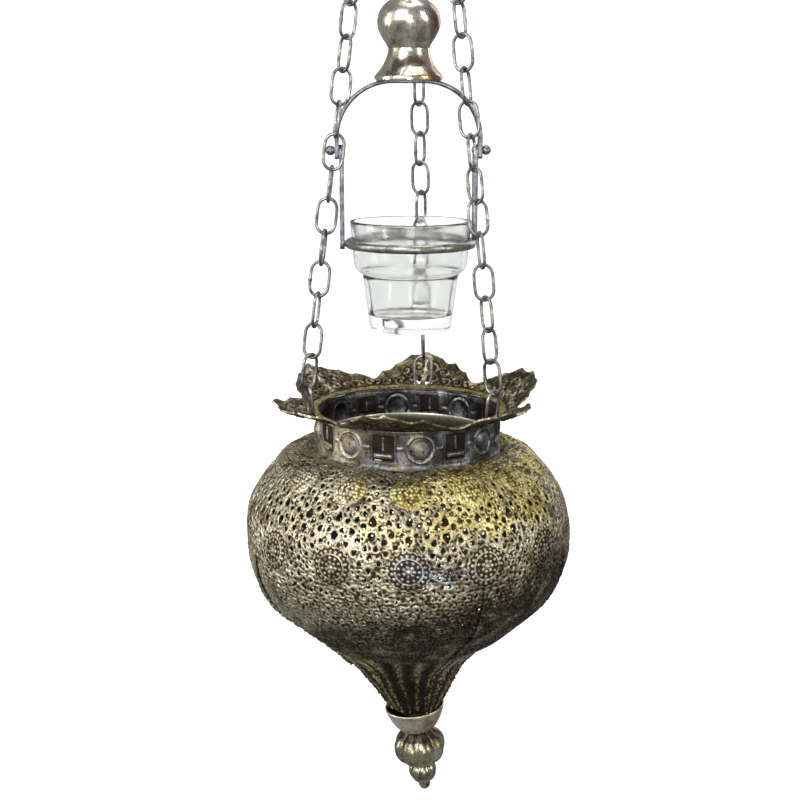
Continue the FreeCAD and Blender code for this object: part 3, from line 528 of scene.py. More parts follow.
def stand_link(lower, upper, winding, weld=False):
    """A link between two contacts, wound about the line between them."""
    vertices, faces = WELDED_LINK if weld else LINK
    along = (upper - lower) / np.linalg.norm(upper - lower)
    turn = math.radians(winding)
    across = np.array([math.cos(turn), math.sin(turn), 0])
    across -= along * (across @ along)
    across /= np.linalg.norm(across)
    axes = (across, np.cross(along, across), along)
    return (upper + lower) / 2 + sum(vertices[:, i:i + 1] * axis for i, axis in enumerate(axes)), faces


def winding_at(points, number):
    """The winding of one link, between the points it is given at. Every second link is a quarter turn on."""
    for (first, start), (last, finish) in zip(points, points[1:]):
        if number <= last:
            return start + (finish - start) * (number - first) / (last - first) + 90 * (number % 2)


def chain_contact(azimuth, count):
    """Where a main chain's links bear on each other, that many links below the crown."""
    lean = math.radians(CHAIN_LEAN)
    return polar(CHAIN_TOP[0] + count * PITCH * math.sin(lean), azimuth,
                 CHAIN_TOP[1] - count * PITCH * math.cos(lean))


def rim_contacts(azimuth):
    upper = chain_contact(azimuth, CHAIN_LINKS)
    return upper - polar(RIM_LINK_LEAN, azimuth, math.sqrt(PITCH ** 2 - RIM_LINK_LEAN ** 2)), upper


def add_chains():
    sewn = []
    for label, (azimuth, points) in WINDING.items():
        links = []
        for number in range(CHAIN_LINKS):
            lower, upper = chain_contact(azimuth, number + 1), chain_contact(azimuth, number)
            weld = RANDOM.random() < WELDED_SHARE
            links.append(stand_link(lower, upper, winding_at(points, CHAIN_LINKS - number), weld))
        piece(f"{label}_links", *joined(links), PEWTER, label, label, "chain_wire")
        lower, upper = rim_contacts(azimuth)
        lift = np.array([0, 0, RIM_PLAY])
        sewn.append(stand_link(lower + lift, upper + lift, azimuth + 90))
    piece("sewn_rim_links", *joined(sewn), PEWTER, "bowl", "rim_links", "chain_wire")
    hanger = []
    for number in range(HANGER_LINKS):
        upper = np.array([0, 0, HANGER_TOP - number * PITCH])
        hanger.append(stand_link(upper - (0, 0, PITCH), upper, 90 * number, number == 1))
    piece("hanger_links", *joined(hanger), PEWTER, "hanger", "hanger_chain", "chain_wire")


# ---- spindle, arch and carrier ----

# Heights of the spindle's pieces, of the arms' pivots, of the ring and of the glass's rim.
BALL_FOOT, BELL_FOOT, PIVOT_HEIGHT, RING_HEIGHT, GLASS_RIM = -193.4, -209.0, -246.0, -295.7, -283.8
ROD_HOLE = 2.05
LIP_DROP = 1.1  # how far the bell's lip comes down beside the strap
# The arch is drawn a little thicker on both faces than the strap it is bent from.
STRAP_WIDTH, ARCH_THICKNESS, ARCH_EXTRA = 6, 1.6, 0.3
ARCH_CORNER, ARCH_CORNER_PLACE = 30.0, (8.2, 6.2)
ARM_PLACE, ARM_THICKNESS, ARM_TOP = 36.05, 2.5, 3.0
ARM_BOTTOMS = {"left_arm": (-1, -298.5), "right_arm": (1, -293.9)}
# Along a rivet from the axis: the face of its inner head, the radius of its ball and the ball's centre.
RIVET_NECK, RIVET_HEAD, RIVET_HEAD_PLACE = 35.2, 2.65, 41.9
# The ring lies off the axis by the offset, and its wire is taller than wide by the stretch.
RING_RADIUS, RING_OFFSET, RING_WIRE, RING_STRETCH = 33.8, 1.2, 1.85, 1.25


def drop_lip(bell):
    """Brings the bell's lip down beside the strap it sits on, so that the strap is let into it."""
    for vertex in bell.data.vertices:
        x, y, z = vertex.co / MM
        beside_strap = fade(abs(y - x * math.tan(math.radians(HANGER_YAW))), 4, 3)
        at_lip = fade(z, BELL_FOOT + 1, -0.8) * (math.hypot(x, y) > 12)
        vertex.co.z -= LIP_DROP * MM * beside_strap * at_lip


def add_spindle():
    ball = smooth_line([
        (10.9, 0), (11.2, 0.7), (12.1, 2.6), (13.8, 5.2), (15.6, 8.8), (16.55, 12.2), (16.6, 14.6),
        (15.8, 18.2), (13.6, 21.6), (10.8, 23.9), (9.6, 24.6), (9.3, 25.3), (8.6, 25.7)], 5)
    turned("turned_ball", ball.tolist() + [(ROD_HOLE, 25.7), (ROD_HOLE, 0)], BRIGHT, "spindle",
           "spindle_ball", "aged_brass", BALL_FOOT, 128, HANGER_YAW, 0.16)
    outer = smooth_line([
        (17.8, 0.0), (18.25, 0.3), (18.2, 1.1), (17.2, 2.5), (15.5, 4.4), (13.9, 6.5), (12.6, 9.0),
        (11.6, 11.6), (11.0, 13.8), (10.9, 15.55)], 6)
    inner = [(ROD_HOLE, 15.55), (ROD_HOLE, 0), (5, 0), (5, 13.2), (8.7, 13.2), (9.4, 8.0), (16.8, 2.0),
             (17.2, 0.1)]
    drop_lip(turned("turned_bell", outer.tolist() + inner, SILVER, "spindle", "spindle_bell", "aged_brass",
                    BELL_FOOT, 128, HANGER_YAW, 0.1))

    def at_pivot(name, vertices, faces, body, node, turn=0):
        piece(name, yawed(vertices, HANGER_YAW + turn) + (0, 0, PIVOT_HEIGHT), faces, STEEL, body, node,
              "silvered_steel")

    x, z = ARCH_CORNER_PLACE
    wide, high = ARCH_CORNER + ARCH_EXTRA, ARCH_CORNER - ARCH_EXTRA
    path = [(x + wide, 0, level) for level in np.linspace(-4.5, z, 8)]
    path += [(x + wide * math.cos(a), 0, z + high * math.sin(a)) for a in np.linspace(0, math.pi / 2, 28)[1:]]
    path += [(place, 0, z + high) for place in np.linspace(x, 0, 6)[1:]]
    path += [(-place, 0, level) for place, _, level in reversed(path[:-1])]
    at_pivot("bent_arch", *strap(path, STRAP_WIDTH, ARCH_THICKNESS + 2 * ARCH_EXTRA), "spindle", "arch")

    rivet = [(0.01, -1.35), (1.3, -0.95), (2.25, 0), (1.25, 0.1), (1.25, 3.8), (1.6, 3.85), (1.55, 4.4)]
    rivet = [(radius, RIVET_NECK + place) for radius, place in rivet]
    rivet += [(RIVET_HEAD * math.sin(a), RIVET_HEAD_PLACE - RIVET_HEAD * math.cos(a))
              for a in np.linspace(0.62, math.pi, 16)[:-1]]
    vertices, faces = turned_points(rivet + [(0, RIVET_HEAD_PLACE + RIVET_HEAD)], 40)
    for node, turn in (("left_pivot_rivet", 180), ("right_pivot_rivet", 0)):
        at_pivot(f"{node}_ball", vertices[:, [2, 1, 0]] * (1, 1, -1), faces, "spindle", node, turn)

    for node, (side, bottom) in ARM_BOTTOMS.items():
        path = [(side * ARM_PLACE, 0, z) for z in np.linspace(ARM_TOP, bottom - PIVOT_HEIGHT, 24)]
        vertices, faces = strap(path, STRAP_WIDTH, ARM_THICKNESS)
        high = vertices[:, 2] > 0.4
        # The top of an arm is rounded about its pivot.
        vertices[high, 1] *= np.sqrt(np.clip(1 - (vertices[high, 2] / (ARM_TOP + 0.05)) ** 2, 0.02, 1))
        at_pivot(f"{node}_strap", vertices, faces, "carrier", node)


def add_ring():
    """The holder ring, a little off the spindle's axis, with the welds that join it to the arms."""
    angle = np.linspace(0, 2 * math.pi, 144, False)
    path = polar(RING_RADIUS, np.degrees(angle), 0 * angle) + (RING_OFFSET, 0, 0)
    lump = 0.16 * np.exp(-((np.cos(angle) + 1) / 0.02)) + 0.05 * np.sin(7 * angle) * np.sin(3 * angle)
    ring = tube(path, RING_WIRE + lump, 20, closed=True)
    ring[0][:, 2] *= RING_STRETCH
    left_weld = tube([(-35.4, 0, -0.2), (-34.6, 0, 0), (-33.6, 0, 0), (-32.8, 0, 0)],
                     [1.5, 1.75, 1.7, 1.3], 16)
    right_weld = tube([(36.1, 0, 0), (36.1, 0, 0.9), (36.1, 0, 1.8)], [1.3, 1.45, 1.2], 16)
    vertices, faces = joined([ring, left_weld, right_weld])
    piece("wire_ring", yawed(vertices, HANGER_YAW) + (0, 0, RING_HEIGHT), faces, RING, "carrier",
          "holder_ring", "silvered_steel")


def add_glass():
    """Stepped pressed glass with shallow flutes below the step, a rounded rim and a thick floor."""
    height, waist, step = 59.2, 37.2, 30.8
    outer = smooth_line([
        (21.0, 0.0), (22.1, 0.7), (22.6, 3.0), (23.4, 9.0), (25.6, 26.0), (26.2, step - 1.0),
        (27.0, step + 0.4), (28.9, step + 1.6), (30.3, step + 3.4), (31.0, waist), (31.9, 47.3),
        (32.9, height - 0.9), (32.6, height - 0.2)], 5)
    inner = smooth_line([
        (31.6, height - 0.1), (30.9, height - 0.8), (29.6, 47.0), (28.8, waist), (28.0, step + 3.4),
        (25.6, step + 0.2), (24.2, step - 1.6), (23.4, 25.0), (21.4, 10.4), (19.8, 8.6), (16.0, 8.05)], 5)
    outline = [(0, 0.9), (14.0, 0.9), (17.5, 0.2)] + outer.tolist() + inner.tolist() + [(0, 8.0)]
    vertices, faces = turned_points(outline, 192)
    x, y, z = vertices.T
    radius = np.hypot(x, y)
    inside = (radius < 0.93 * (22.4 + z * 0.125)) & (z > 8)
    flute = 0.16 * np.cos(12 * np.arctan2(y, x)) * fade(z, 3, 4) * fade(z, step - 2, -3) * inside
    vertices[:, :2] *= (1 + flute / np.maximum(radius, 5))[:, None]
    vertices += polar(RING_OFFSET, HANGER_YAW, GLASS_RIM - height)
    piece("pressed_glass", vertices, faces, GLASS, "glass", "glass_cup", "clear_glass")


# ---- sheet metal with relief and piercing ----

def sheet_mesh(name, base, normal, height, clearance, thickness, marks, material, node, wrap=False):
    """A sheet over a grid of points, embossed by `height` and cut away wherever `clearance` is below zero.

    All fields are arrays over the grid, in millimetres. `marks` holds the shares that the material reads,
    each with its value on the back, or None if that is the same. `wrap` joins the last column to the first.
    """
    total = clearance.size
    index = np.arange(total).reshape(clearance.shape)
    if wrap:
        index = np.hstack([index, index[:, :1]])
    quads = np.stack([index[:-1, :-1], index[1:, :-1], index[1:, 1:], index[:-1, 1:]], -1).reshape(-1, 4)
    corner = np.sign(np.where(abs(clearance) < 1e-6, 0, clearance)).ravel()[quads]
    cut = (corner < 0).sum(1)
    whole = quads[(cut == 0) & (corner.sum(1) > 0)]

    # A cell with one corner in a hole keeps the triangle of its other three.
    gone = np.argmax(corner < 0, axis=1)
    nicked = np.flatnonzero((cut == 1) & (corner[np.arange(len(quads)), (gone + 2) % 4] > 0))
    triangles = np.stack([quads[nicked, (gone[nicked] + shift) % 4] for shift in (1, 2, 3)], -1)

    edges = np.vstack([np.stack([faces, np.roll(faces, -1, 1)], -1).reshape(-1, 2)
                       for faces in (whole, triangles)])
    border = edges[~np.isin(edges[:, 0] * total + edges[:, 1], edges[:, 1] * total + edges[:, 0])]
    rims = np.column_stack([border[:, 1], border[:, 0], border[:, 0] + total, border[:, 1] + total])

    used = np.zeros(2 * total, bool)
    for faces in (whole, triangles):
        used[faces.ravel()] = True
        used[faces.ravel() + total] = True
    place = np.cumsum(used) - 1
    outer = base + normal * height[..., None]
    inner = base + normal * (height[..., None] * 0.75 - thickness)
    vertices = np.vstack([outer.reshape(-1, 3), inner.reshape(-1, 3)])[used]
    groups = (whole, triangles, whole[:, ::-1] + total, triangles[:, ::-1] + total, rims)
    faces = [corners for group in groups for corners in place[group].tolist()]
    flat = np.arange(len(faces)) >= len(faces) - len(rims)
    item = piece(name, vertices, faces, material, "bowl", node, "pierced_metal", flat)
    for label, (values, back_value) in marks.items():
        back = values.ravel() if back_value is None else np.full(total, back_value)
        mark(item, label, np.concatenate([values.ravel(), back])[used])
    return item


def snapped(across, down, clearance, reach=0.55):
    """Moves the grid points nearest each hole's edge onto it. Returns the moved grid and its clearance."""
    step_across = np.gradient(across, axis=1)
    step_down = np.gradient(down, axis=0)
    slope_across = np.gradient(clearance, axis=1) / step_across
    slope_down = np.gradient(clearance, axis=0) / step_down
    steep = slope_across ** 2 + slope_down ** 2 + 1e-9
    move_across = -clearance * slope_across / steep
    move_down = -clearance * slope_down / steep
    near = (abs(move_across) < reach * step_across) & (abs(move_down) < reach * step_down)
    near &= abs(clearance) < step_across + step_down
    return (np.where(near, across + move_across, across), np.where(near, down + move_down, down),
            np.where(near, 0.0, clearance))


def drop_shape(x, y, length, width, direction):
    """Roughly the distance to the edge of a pointed drop, positive outside it."""
    turn = math.radians(direction)
    along = (x * math.cos(turn) + y * math.sin(turn)) / (length / 2)
    across = (-x * math.sin(turn) + y * math.cos(turn)) / (width / 2)
    narrowing = np.clip(1 - 0.6 * along, 0.25, 2)
    return (np.sqrt((across / narrowing) ** 2 + along ** 2 + 1e-9) - 1) * min(length, width) / 2


def berries(x, y, rim, pitch=2.15):
    """Height of a round boss packed with beads inside a raised rim."""
    radius = np.hypot(x, y)
    row = np.round(y / (pitch * 0.866))
    column = np.round(x / pitch - 0.5 * (row % 2)) + 0.5 * (row % 2)
    stray = 1.3 * (chance(row, 2 * column) - 0.5), 1.3 * (chance(2 * column, row) - 0.5)
    gap = np.hypot(x - column * pitch - stray[0], y - row * pitch * 0.866 - stray[1])
    size = 0.24 + 0.2 * chance(row + 7, 2 * column)
    beads = (0.85 * mound(gap, pitch * size) - 0.2) * (radius < rim - 0.9)
    dots = 0.65 + 0.35 * np.cos(26 * np.arctan2(y, x))
    return beads + 0.6 * dots * mound(radius - rim, 0.55)


def rosette(x, y, rings, ridge, rim):
    """Height of a round boss: rings of petals, each (radius, count, size), a ridge and a raised rim."""
    radius, angle = np.hypot(x, y), np.arctan2(y, x)
    height = 0.7 * mound(radius - ridge, 0.42) - 0.25 * (radius < rim)
    for distance, count, bead in rings:
        sector = 2 * math.pi / count
        offset = angle - np.round(angle / sector) * sector
        gap = np.hypot(radius * np.cos(offset) - distance, radius * np.sin(offset))
        height += bead * 0.75 * mound(gap, bead)
    return height + 0.5 * mound(radius - rim, 0.5)


# ---- bowl ----

PROFILE = smooth_line(BOWL_OUTLINE, 24)
PROFILE_DOWN = np.concatenate([[0], np.cumsum(np.linalg.norm(np.diff(PROFILE, axis=0), axis=1))])
REPEATS = 14
TILE = 360 / REPEATS
FRONT = 270
MEDALLION_DOWN, ROSETTE_DOWN = 22.0, 64.0
SEAM_AZIMUTH = 205
GORES, GORE_TURN, GORE_FIRST = 8, 45, 25
SHELL_THICKNESS = 1.0

# The gore whose last edge has sprung open, so that the next one's first edge lies in its shadow.
OPEN_SEAM = 3
# How far a gore stays pale towards the tail, and the gores that differ from that.
PALE_SHARE = 0.3
PALE_GORES = {4: 0.75, 5: 0.0, 6: 0.6}
# Distances down the skin: where the drops give way to pinholes, where the tail's pleats begin, where the last
# holes are, and where the tail ends inside the bottom cup.
DROPS_END, PLEATS_START, HOLES_END, TAIL_END = 76, 132, 166, 208.0

# How the bowl's tone changes around it, at these azimuths: where it turns black, which is partly patina and
# partly painted shade, and how gilt its upper part is.
WEAR_AND_SHADE_AZIMUTHS = (-160, -125, -90, -60, -30, 0, 60, 120, 180, 200)
BLACK_FROM = (132, 100, 79, 67, 61, 68, 80, 90, 110, 132)
GILT_ABOVE = (0.12, 0.12, 0.3, 0.72, 0.62, 0.4, 0.3, 0.4, 0.2, 0.12)
# How gilt the medallions are.
MEDALLION_AZIMUTHS = (-160, -118, -100, -60, 0, 60, 200)
MEDALLION_GILT = (0.15, 0.3, 0.75, 0.9, 0.6, 0.5, 0.15)

# Drop-shaped holes of one repeat, mirrored about its centre line: place across as a share of half the repeat,
# distance down from the collar, length, width and the way the point looks.
DROPS = [
    (0.15, 4.5, 2.6, 1.8, 90), (0.5, 5.2, 2.4, 1.8, 70), (0.85, 4.5, 2.6, 1.8, 110),
    (0.32, 9.6, 2.6, 1.9, 40), (0.68, 10.0, 3.0, 2.0, 120), (1.0, 13.5, 3.8, 2.6, 90),
    (0.8, 18.6, 2.8, 2.0, 150), (1.0, 23.0, 3.6, 2.5, -90), (0.78, 27.0, 3.0, 2.1, -130),
    (1.0, 31.0, 4.2, 2.8, -90), (0.22, 33.2, 3.0, 2.0, 30), (0.5, 32.2, 3.6, 2.4, 60),
    (0.76, 34.8, 3.6, 2.5, 120), (0.0, 37.6, 5.8, 3.6, 90), (0.3, 39.6, 3.5, 2.5, 40),
    (0.56, 38.6, 4.2, 3.0, 75), (1.0, 38.6, 6.4, 4.3, 90), (0.78, 42.2, 4.2, 3.0, -60),
    (0.46, 44.8, 4.2, 3.0, 120), (0.2, 45.0, 3.2, 2.2, -40), (0.0, 48.0, 6.2, 3.8, -90),
    (1.0, 47.6, 6.0, 4.0, -90), (0.66, 48.8, 4.2, 2.9, 60), (0.34, 51.2, 3.4, 2.3, 150),
    (0.86, 52.8, 3.4, 2.4, 80), (0.6, 55.0, 3.6, 2.5, 30), (1.0, 57.0, 4.0, 2.6, 90),
    (0.76, 60.5, 3.2, 2.2, -30), (1.0, 64.0, 3.4, 2.3, -90), (0.74, 67.0, 2.8, 2.0, 60),
    (1.0, 71.5, 3.2, 2.2, 90), (0.62, 74.5, 2.8, 2.0, -60), (0.3, 78.0, 2.6, 1.9, 20),
    (0.85, 77.5, 2.8, 2.0, 120),
]
# Spiral leaves between them: place across, distance down, radius and hand.
CURLS = [
    (0.42, 36.0, 3.0, 1), (0.12, 42.5, 2.8, -1), (0.9, 43.5, 3.0, 1), (0.6, 43.2, 2.8, -1),
    (0.18, 54.5, 2.8, 1), (0.5, 50.0, 2.6, 1), (0.78, 56.5, 3.0, -1), (0.88, 67.5, 3.2, 1),
    (0.9, 61.0, 2.6, -1), (0.86, 35.4, 2.6, -1), (0.62, 14.2, 2.8, 1), (0.88, 9.0, 2.6, -1),
    (0.9, 27.6, 2.6, 1), (0.48, 79.0, 3.4, -1), (0.9, 83.0, 3.4, 1), (0.15, 84.0, 3.2, 1),
    (0.55, 88.0, 3.0, -1), (0.3, 94.0, 3.2, 1), (0.8, 95.0, 3.2, -1), (0.0, 102.0, 3.0, 1),
    (0.6, 104.0, 3.2, 1), (1.0, 108.0, 3.2, -1), (0.3, 114.0, 3.0, -1), (0.8, 120.0, 3.0, 1),
    (0.2, 126.0, 2.8, 1),
]


def skin_radius(down):
    return np.interp(down, PROFILE_DOWN, PROFILE[:, 0])


def bowl_surface(turn, down):
    """Points and outward directions on the bowl's outer skin."""
    (radius, depth), above, below = [[np.interp(down + shift, PROFILE_DOWN, values) for values in PROFILE.T]
                                     for shift in (0, -0.6, 0.6)]
    outward, upward = below[1] - above[1], below[0] - above[0]
    size = np.hypot(outward, upward)
    return polar(radius, turn, -depth), polar(outward / size, turn, upward / size)


def chance(*numbers):
    """A repeatable random share for whole-number arrays."""
    mixed = sum(number * factor for number, factor in zip(numbers, (12.9898, 78.233, 37.719)))
    return (np.sin(mixed) * 43758.5453) % 1


def lattice(turn, down, radius, pitch, first):
    """Staggered cells over the surface: offsets from the nearest cell's centre and two random shares."""
    row = np.round((down - first) / pitch)
    row_radius = skin_radius(first + row * pitch)
    count = np.maximum(np.round(2 * math.pi * row_radius / pitch / REPEATS), 1) * REPEATS
    place = turn * count / 360 + 0.5 * (row % 2)
    column = np.floor(place) % count
    luck, more = chance(row, column), chance(column, row, row)
    across = (place - np.floor(place) - 0.5) * 2 * math.pi * radius / count + (luck - 0.5) * pitch * 0.4
    return across, down - first - row * pitch + (more - 0.5) * pitch * 0.4, luck, more


def curl(x, y, radius, hand, pitch=2.1):
    """A raised spiral leaf."""
    distance, angle = np.hypot(x, y), np.arctan2(y, x)
    return 0.42 * np.cos(2 * math.pi * distance / pitch - hand * angle) * np.exp(-(distance / radius) ** 4)


def bowl_holes(turn, down, down_true, radius, signed, medallion, rose):
    """Distance from the nearest hole: drawn drops, fine holes between them, and pinholes further down."""
    across, half = abs(signed), np.radians(TILE / 2) * radius
    clear = np.full(turn.shape, 9.0)
    for place, drop_down, length, width, direction in DROPS:
        x = (signed if place == 0 else across) - place * half
        clear = np.minimum(clear, drop_shape(x, drop_down - down, 0.88 * length, 0.88 * width, direction))
    x, y, luck, _ = lattice(turn, down, radius, 4.4, 75)
    pinholes = np.hypot(x, y) - (0.5 + 0.6 * luck)
    clear = np.where(down > DROPS_END, np.minimum(clear, pinholes), clear)
    x, y, luck, _ = lattice(turn, down, radius, 4.2, 2)
    fine = np.maximum(np.hypot(x, y) - (0.2 + 0.7 * luck), 1.1 - clear)
    clear = np.where((clear > 1.1) & (down < DROPS_END) & (luck > 0.45), np.minimum(clear, fine), clear)
    clear = np.maximum(clear, np.maximum(9.6 - medallion, 10.8 - rose) * 0.8)
    clear = np.where(down_true < 1.2, np.maximum(clear, 1.2 - down_true), clear)
    return np.where(down_true > HOLES_END, np.maximum(clear, (down_true - HOLES_END) * 0.4), clear)


def worn_and_shaded_areas(turn, down, down_true, in_medallion, pleat):
    """How gilt, dark and bright the bowl's skin is; the dark is partly patina and partly painted shade."""
    azimuth = (turn + 160) % 360 - 160
    gilt = np.interp(azimuth, WEAR_AND_SHADE_AZIMUTHS, GILT_ABOVE) * fade(down, 64, -22)
    gilt = np.maximum(gilt, np.interp(azimuth, MEDALLION_AZIMUTHS, MEDALLION_GILT) * in_medallion)
    gilt = np.maximum(gilt, 0.42 * fade(down, 112, 26))
    bright = 0.66 * mound(azimuth + 86, 20) * mound(down - 66, 12)
    black = np.clip((down - np.interp(azimuth, WEAR_AND_SHADE_AZIMUTHS, BLACK_FROM)) / 26 + 0.2, 0, 1)
    # Less dark on the ridges between the tail's pleats: painted light across the pleats.
    between_pleats = np.clip(fade(down_true, PLEATS_START, 20) - pleat, 0, 1)
    return gilt, black * (1 - 0.75 * bright) * (1 - 0.6 * between_pleats ** 2), bright


def bowl_pattern(turn, down):
    """Embossing height, distance from the nearest hole, and how chased, gilt, dark (patina and painted shade)
    and bright it is.
    """
    radius = skin_radius(down)
    down_true = down
    turn = turn + 22 / radius * wave(turn, 9, down * 0.17) * 0.8
    down = down + 0.5 * np.cos(np.radians(turn) * 11 - down * 0.11)
    signed = np.radians((turn - FRONT + TILE / 2) % TILE - TILE / 2) * radius
    medallion = np.hypot(signed, down - MEDALLION_DOWN)
    rose = np.hypot(signed, down - ROSETTE_DOWN)
    clear = bowl_holes(turn, down, down_true, radius, signed, medallion, rose)

    # Raised edges of the holes, spiral leaves and a fine grain between them.
    work = 0.5 * mound(clear - 0.62, 0.42)
    free = fade(clear, 0.5, 0.8)
    for place, curl_down, size, hand in CURLS:
        x = abs(signed) - place * (np.radians(TILE / 2) * radius)
        work += curl(x, down - curl_down, size, hand) * free
    x, y, luck, _ = lattice(turn, down, radius, 2.15, 1)
    grain = (0.15 + 0.5 * luck) * np.exp(-(x ** 2 + y ** 2) / 0.62) - 0.16
    work += grain * free * np.where(down > DROPS_END, 1.5, 0.95)

    # The two kinds of boss.
    in_medallion, in_rosette = fade(medallion, 9.7, -0.5), fade(rose, 11.4, -0.6)
    work = work * (1 - in_medallion) + berries(signed, down - MEDALLION_DOWN, 8.7) * in_medallion
    petals = [(0, 1, 1.2), (2.7, 7, 0.95), (5.2, 11, 0.9), (8.6, 19, 0.95)]
    scallop = 10.6 + 0.4 * np.cos(19 * np.arctan2(down - ROSETTE_DOWN, signed))
    work = work * (1 - in_rosette) + rosette(signed, down - ROSETTE_DOWN, petals, 7.0, scallop) * in_rosette
    domes = 0.9 * np.clip(1 - (medallion / 9) ** 2, 0, 1) + 0.6 * np.clip(1 - (rose / 10.5) ** 2, 0, 1)

    # A lapped seam with a crack along it, dents, small hollows, and pleats on the tail.
    seam = (turn - SEAM_AZIMUTH) * math.pi / 180 * radius
    shown = fade(down, 42, 10) * (down_true < 70)
    lap = 0.9 * fade(seam, 8, -8) * (seam > 0) * shown
    crack = mound(seam + 0.5, 0.55) * shown
    dents = 0.35 * wave(turn, 5, down * 0.09) + 0.3 * wave(turn, 8, -down * 0.13)
    x, y, luck, more = lattice(turn, down, radius, 3.3, 3)
    hollow = mound(x ** 2 + (y * (0.7 + 0.6 * more)) ** 2, 0.45 + 0.9 * luck) * (luck > 0.3)
    hollow = hollow * free * (1 - in_medallion) * (1 - in_rosette)
    pleat = (0.5 + 0.5 * np.cos(np.radians(turn) * 24)) * fade(down_true, PLEATS_START, 20)

    height = work + domes + lap + dents - 0.5 * crack - 0.35 * hollow - 0.4 * pleat
    relief = np.clip(0.38 - 0.16 * in_rosette + work * (0.8 + 0.5 * in_rosette), 0, 1)
    # The material paints low relief dark: in the crack and the hollows as tarnish, in the pleats' grooves as
    # painted shade.
    relief = relief * (1 - 0.9 * crack) * (1 - 0.9 * hollow) * (1 - 0.7 * pleat ** 2)
    return height, clear, relief, *worn_and_shaded_areas(turn, down, down_true, in_medallion, pleat)


def chased_sheet(name, turns, downs, node, lap=None, shear=False):
    """One piece of the bowl's skin. A margin of one cell keeps its borders matched to its neighbours'."""
    turns, downs = [np.concatenate([[line[0] - (line[1] - line[0])], line, [line[-1] + (line[1] - line[0])]])
                    for line in (turns, downs)]
    turn, down = np.meshgrid(turns, downs)
    radius = skin_radius(down)
    clear = bowl_pattern(turn, down)[1]
    across, down, clear = snapped(np.radians(turn) * radius, down, clear)
    turn = np.degrees(across / radius)
    turn, down, clear = [grid[1:-1, 1:-1] for grid in (turn, down, clear)]
    height, _, relief, gilt, black, bright = bowl_pattern(turn, down)
    if lap is not None:
        more, shade, paler = lap(turn, down)
        height, relief, black = height + more, relief * shade, black * paler
    place, normal = bowl_surface(turn, down)
    if shear:
        place[..., 0] += math.tan(math.radians(TAIL_LEAN)) * np.maximum(-place[..., 2] - TAIL_DEPTH, 0)
    marks = {"relief": (relief, 0.45), "gilding": (gilt, 0.0), "patina_and_shade": (black, 0.75),
             "brightness": (bright, 0.0)}
    sheet_mesh(name, place, normal, height, clear, SHELL_THICKNESS, marks, CHASED, node)


def add_bowl():
    equator, tail = [PROFILE_DOWN[np.argmax(PROFILE[:, 1] >= depth - 1e-6)]
                     for depth in (EQUATOR_DEPTH, TAIL_DEPTH)]
    for number in range(4):
        turns = np.linspace(number * 90 + 20, number * 90 + 110, 265)
        chased_sheet(f"pierced_upper_{number + 1}", turns, np.linspace(0, equator, 128), "bowl_upper_shell")

    for number in range(GORES):
        start = GORE_FIRST + GORE_TURN * number

        def gore_lap(turn, down, number=number, start=start):
            """The gore's first edge lies over its neighbour and its last edge lies under the next."""
            radius = skin_radius(down)
            from_start = np.radians(turn - start) * radius
            to_end = np.radians(start + GORE_TURN - turn) * radius
            shown = fade(down, equator, 9)
            over = (0 if number == OPEN_SEAM + 1 else 0.6) * fade(from_start, 9, -9) ** 1.5
            under = (-1.7 if number == OPEN_SEAM else 0.35) * fade(to_end, 6, -6)
            shade = 1 - 0.6 * np.clip(1.3 - to_end / 1.8, 0, 1) * shown * (number != OPEN_SEAM)
            shade = shade * (1 - np.clip(1.5 - from_start / 3.5, 0, 1) * shown * (number == OPEN_SEAM + 1))
            pale = 1 - PALE_GORES.get(number, PALE_SHARE) * fade(down, 138, 14)
            return (over - under) * shown - 0.2 * (down < equator), shade, pale

        turns = np.linspace(start - 0.3, start + GORE_TURN + 0.2, 118)
        downs = np.linspace(equator - 0.7, tail + 0.6, 168)
        chased_sheet(f"pierced_gore_{number + 1}", turns, downs, f"lower_gore_{number + 1}", gore_lap)

    def tail_lap(turn, down):
        """Carries the gores' laps and tones on down the tail."""
        radius = skin_radius(down)
        place = (turn - GORE_FIRST) % GORE_TURN
        over = fade(np.radians(place) * radius, 7, -7) ** 1.5
        shade = 1 - 0.8 * fade(np.radians(GORE_TURN - place) * radius, 1.3, -1.3)
        number = (turn - GORE_FIRST) % 360 // GORE_TURN
        pale = np.full(turn.shape, PALE_SHARE)
        for gore, amount in PALE_GORES.items():
            pale = np.where(number == gore, amount, pale)
        return 0.9 * over - 0.25, shade, 1 - pale

    turns = np.linspace(GORE_FIRST, GORE_FIRST + 360, 361)
    chased_sheet("tail_skin", turns, np.linspace(tail, TAIL_END, 62), "tail_cone", tail_lap, True)


# ---- collar and petals ----

COLLAR_RADIUS, COLLAR_TOP, COLLAR_HEIGHT = 51.0, -388.5, 21.5
ROUNDEL_TURN, FIRST_ROUNDEL, ROUNDEL_DOWN = 45, 277, 10.2
RIM_THICKNESS = 0.8
# How black the collar is at these azimuths.
COLLAR_AZIMUTHS = (-160, -130, -105, -80, -55, -20, 60, 140, 180, 200)
COLLAR_BLACK = (0.2, 0.35, 0.75, 0.65, 0.95, 0.95, 0.8, 0.7, 0.5, 0.2)


def bar(x, y, width, height, rise=0.5, edge=0.35):
    """A raised rectangle with soft edges."""
    side = np.clip((width / 2 - abs(x)) / edge + 0.5, 0, 1)
    end = np.clip((height / 2 - abs(y)) / edge + 0.5, 0, 1)
    return rise * side * end


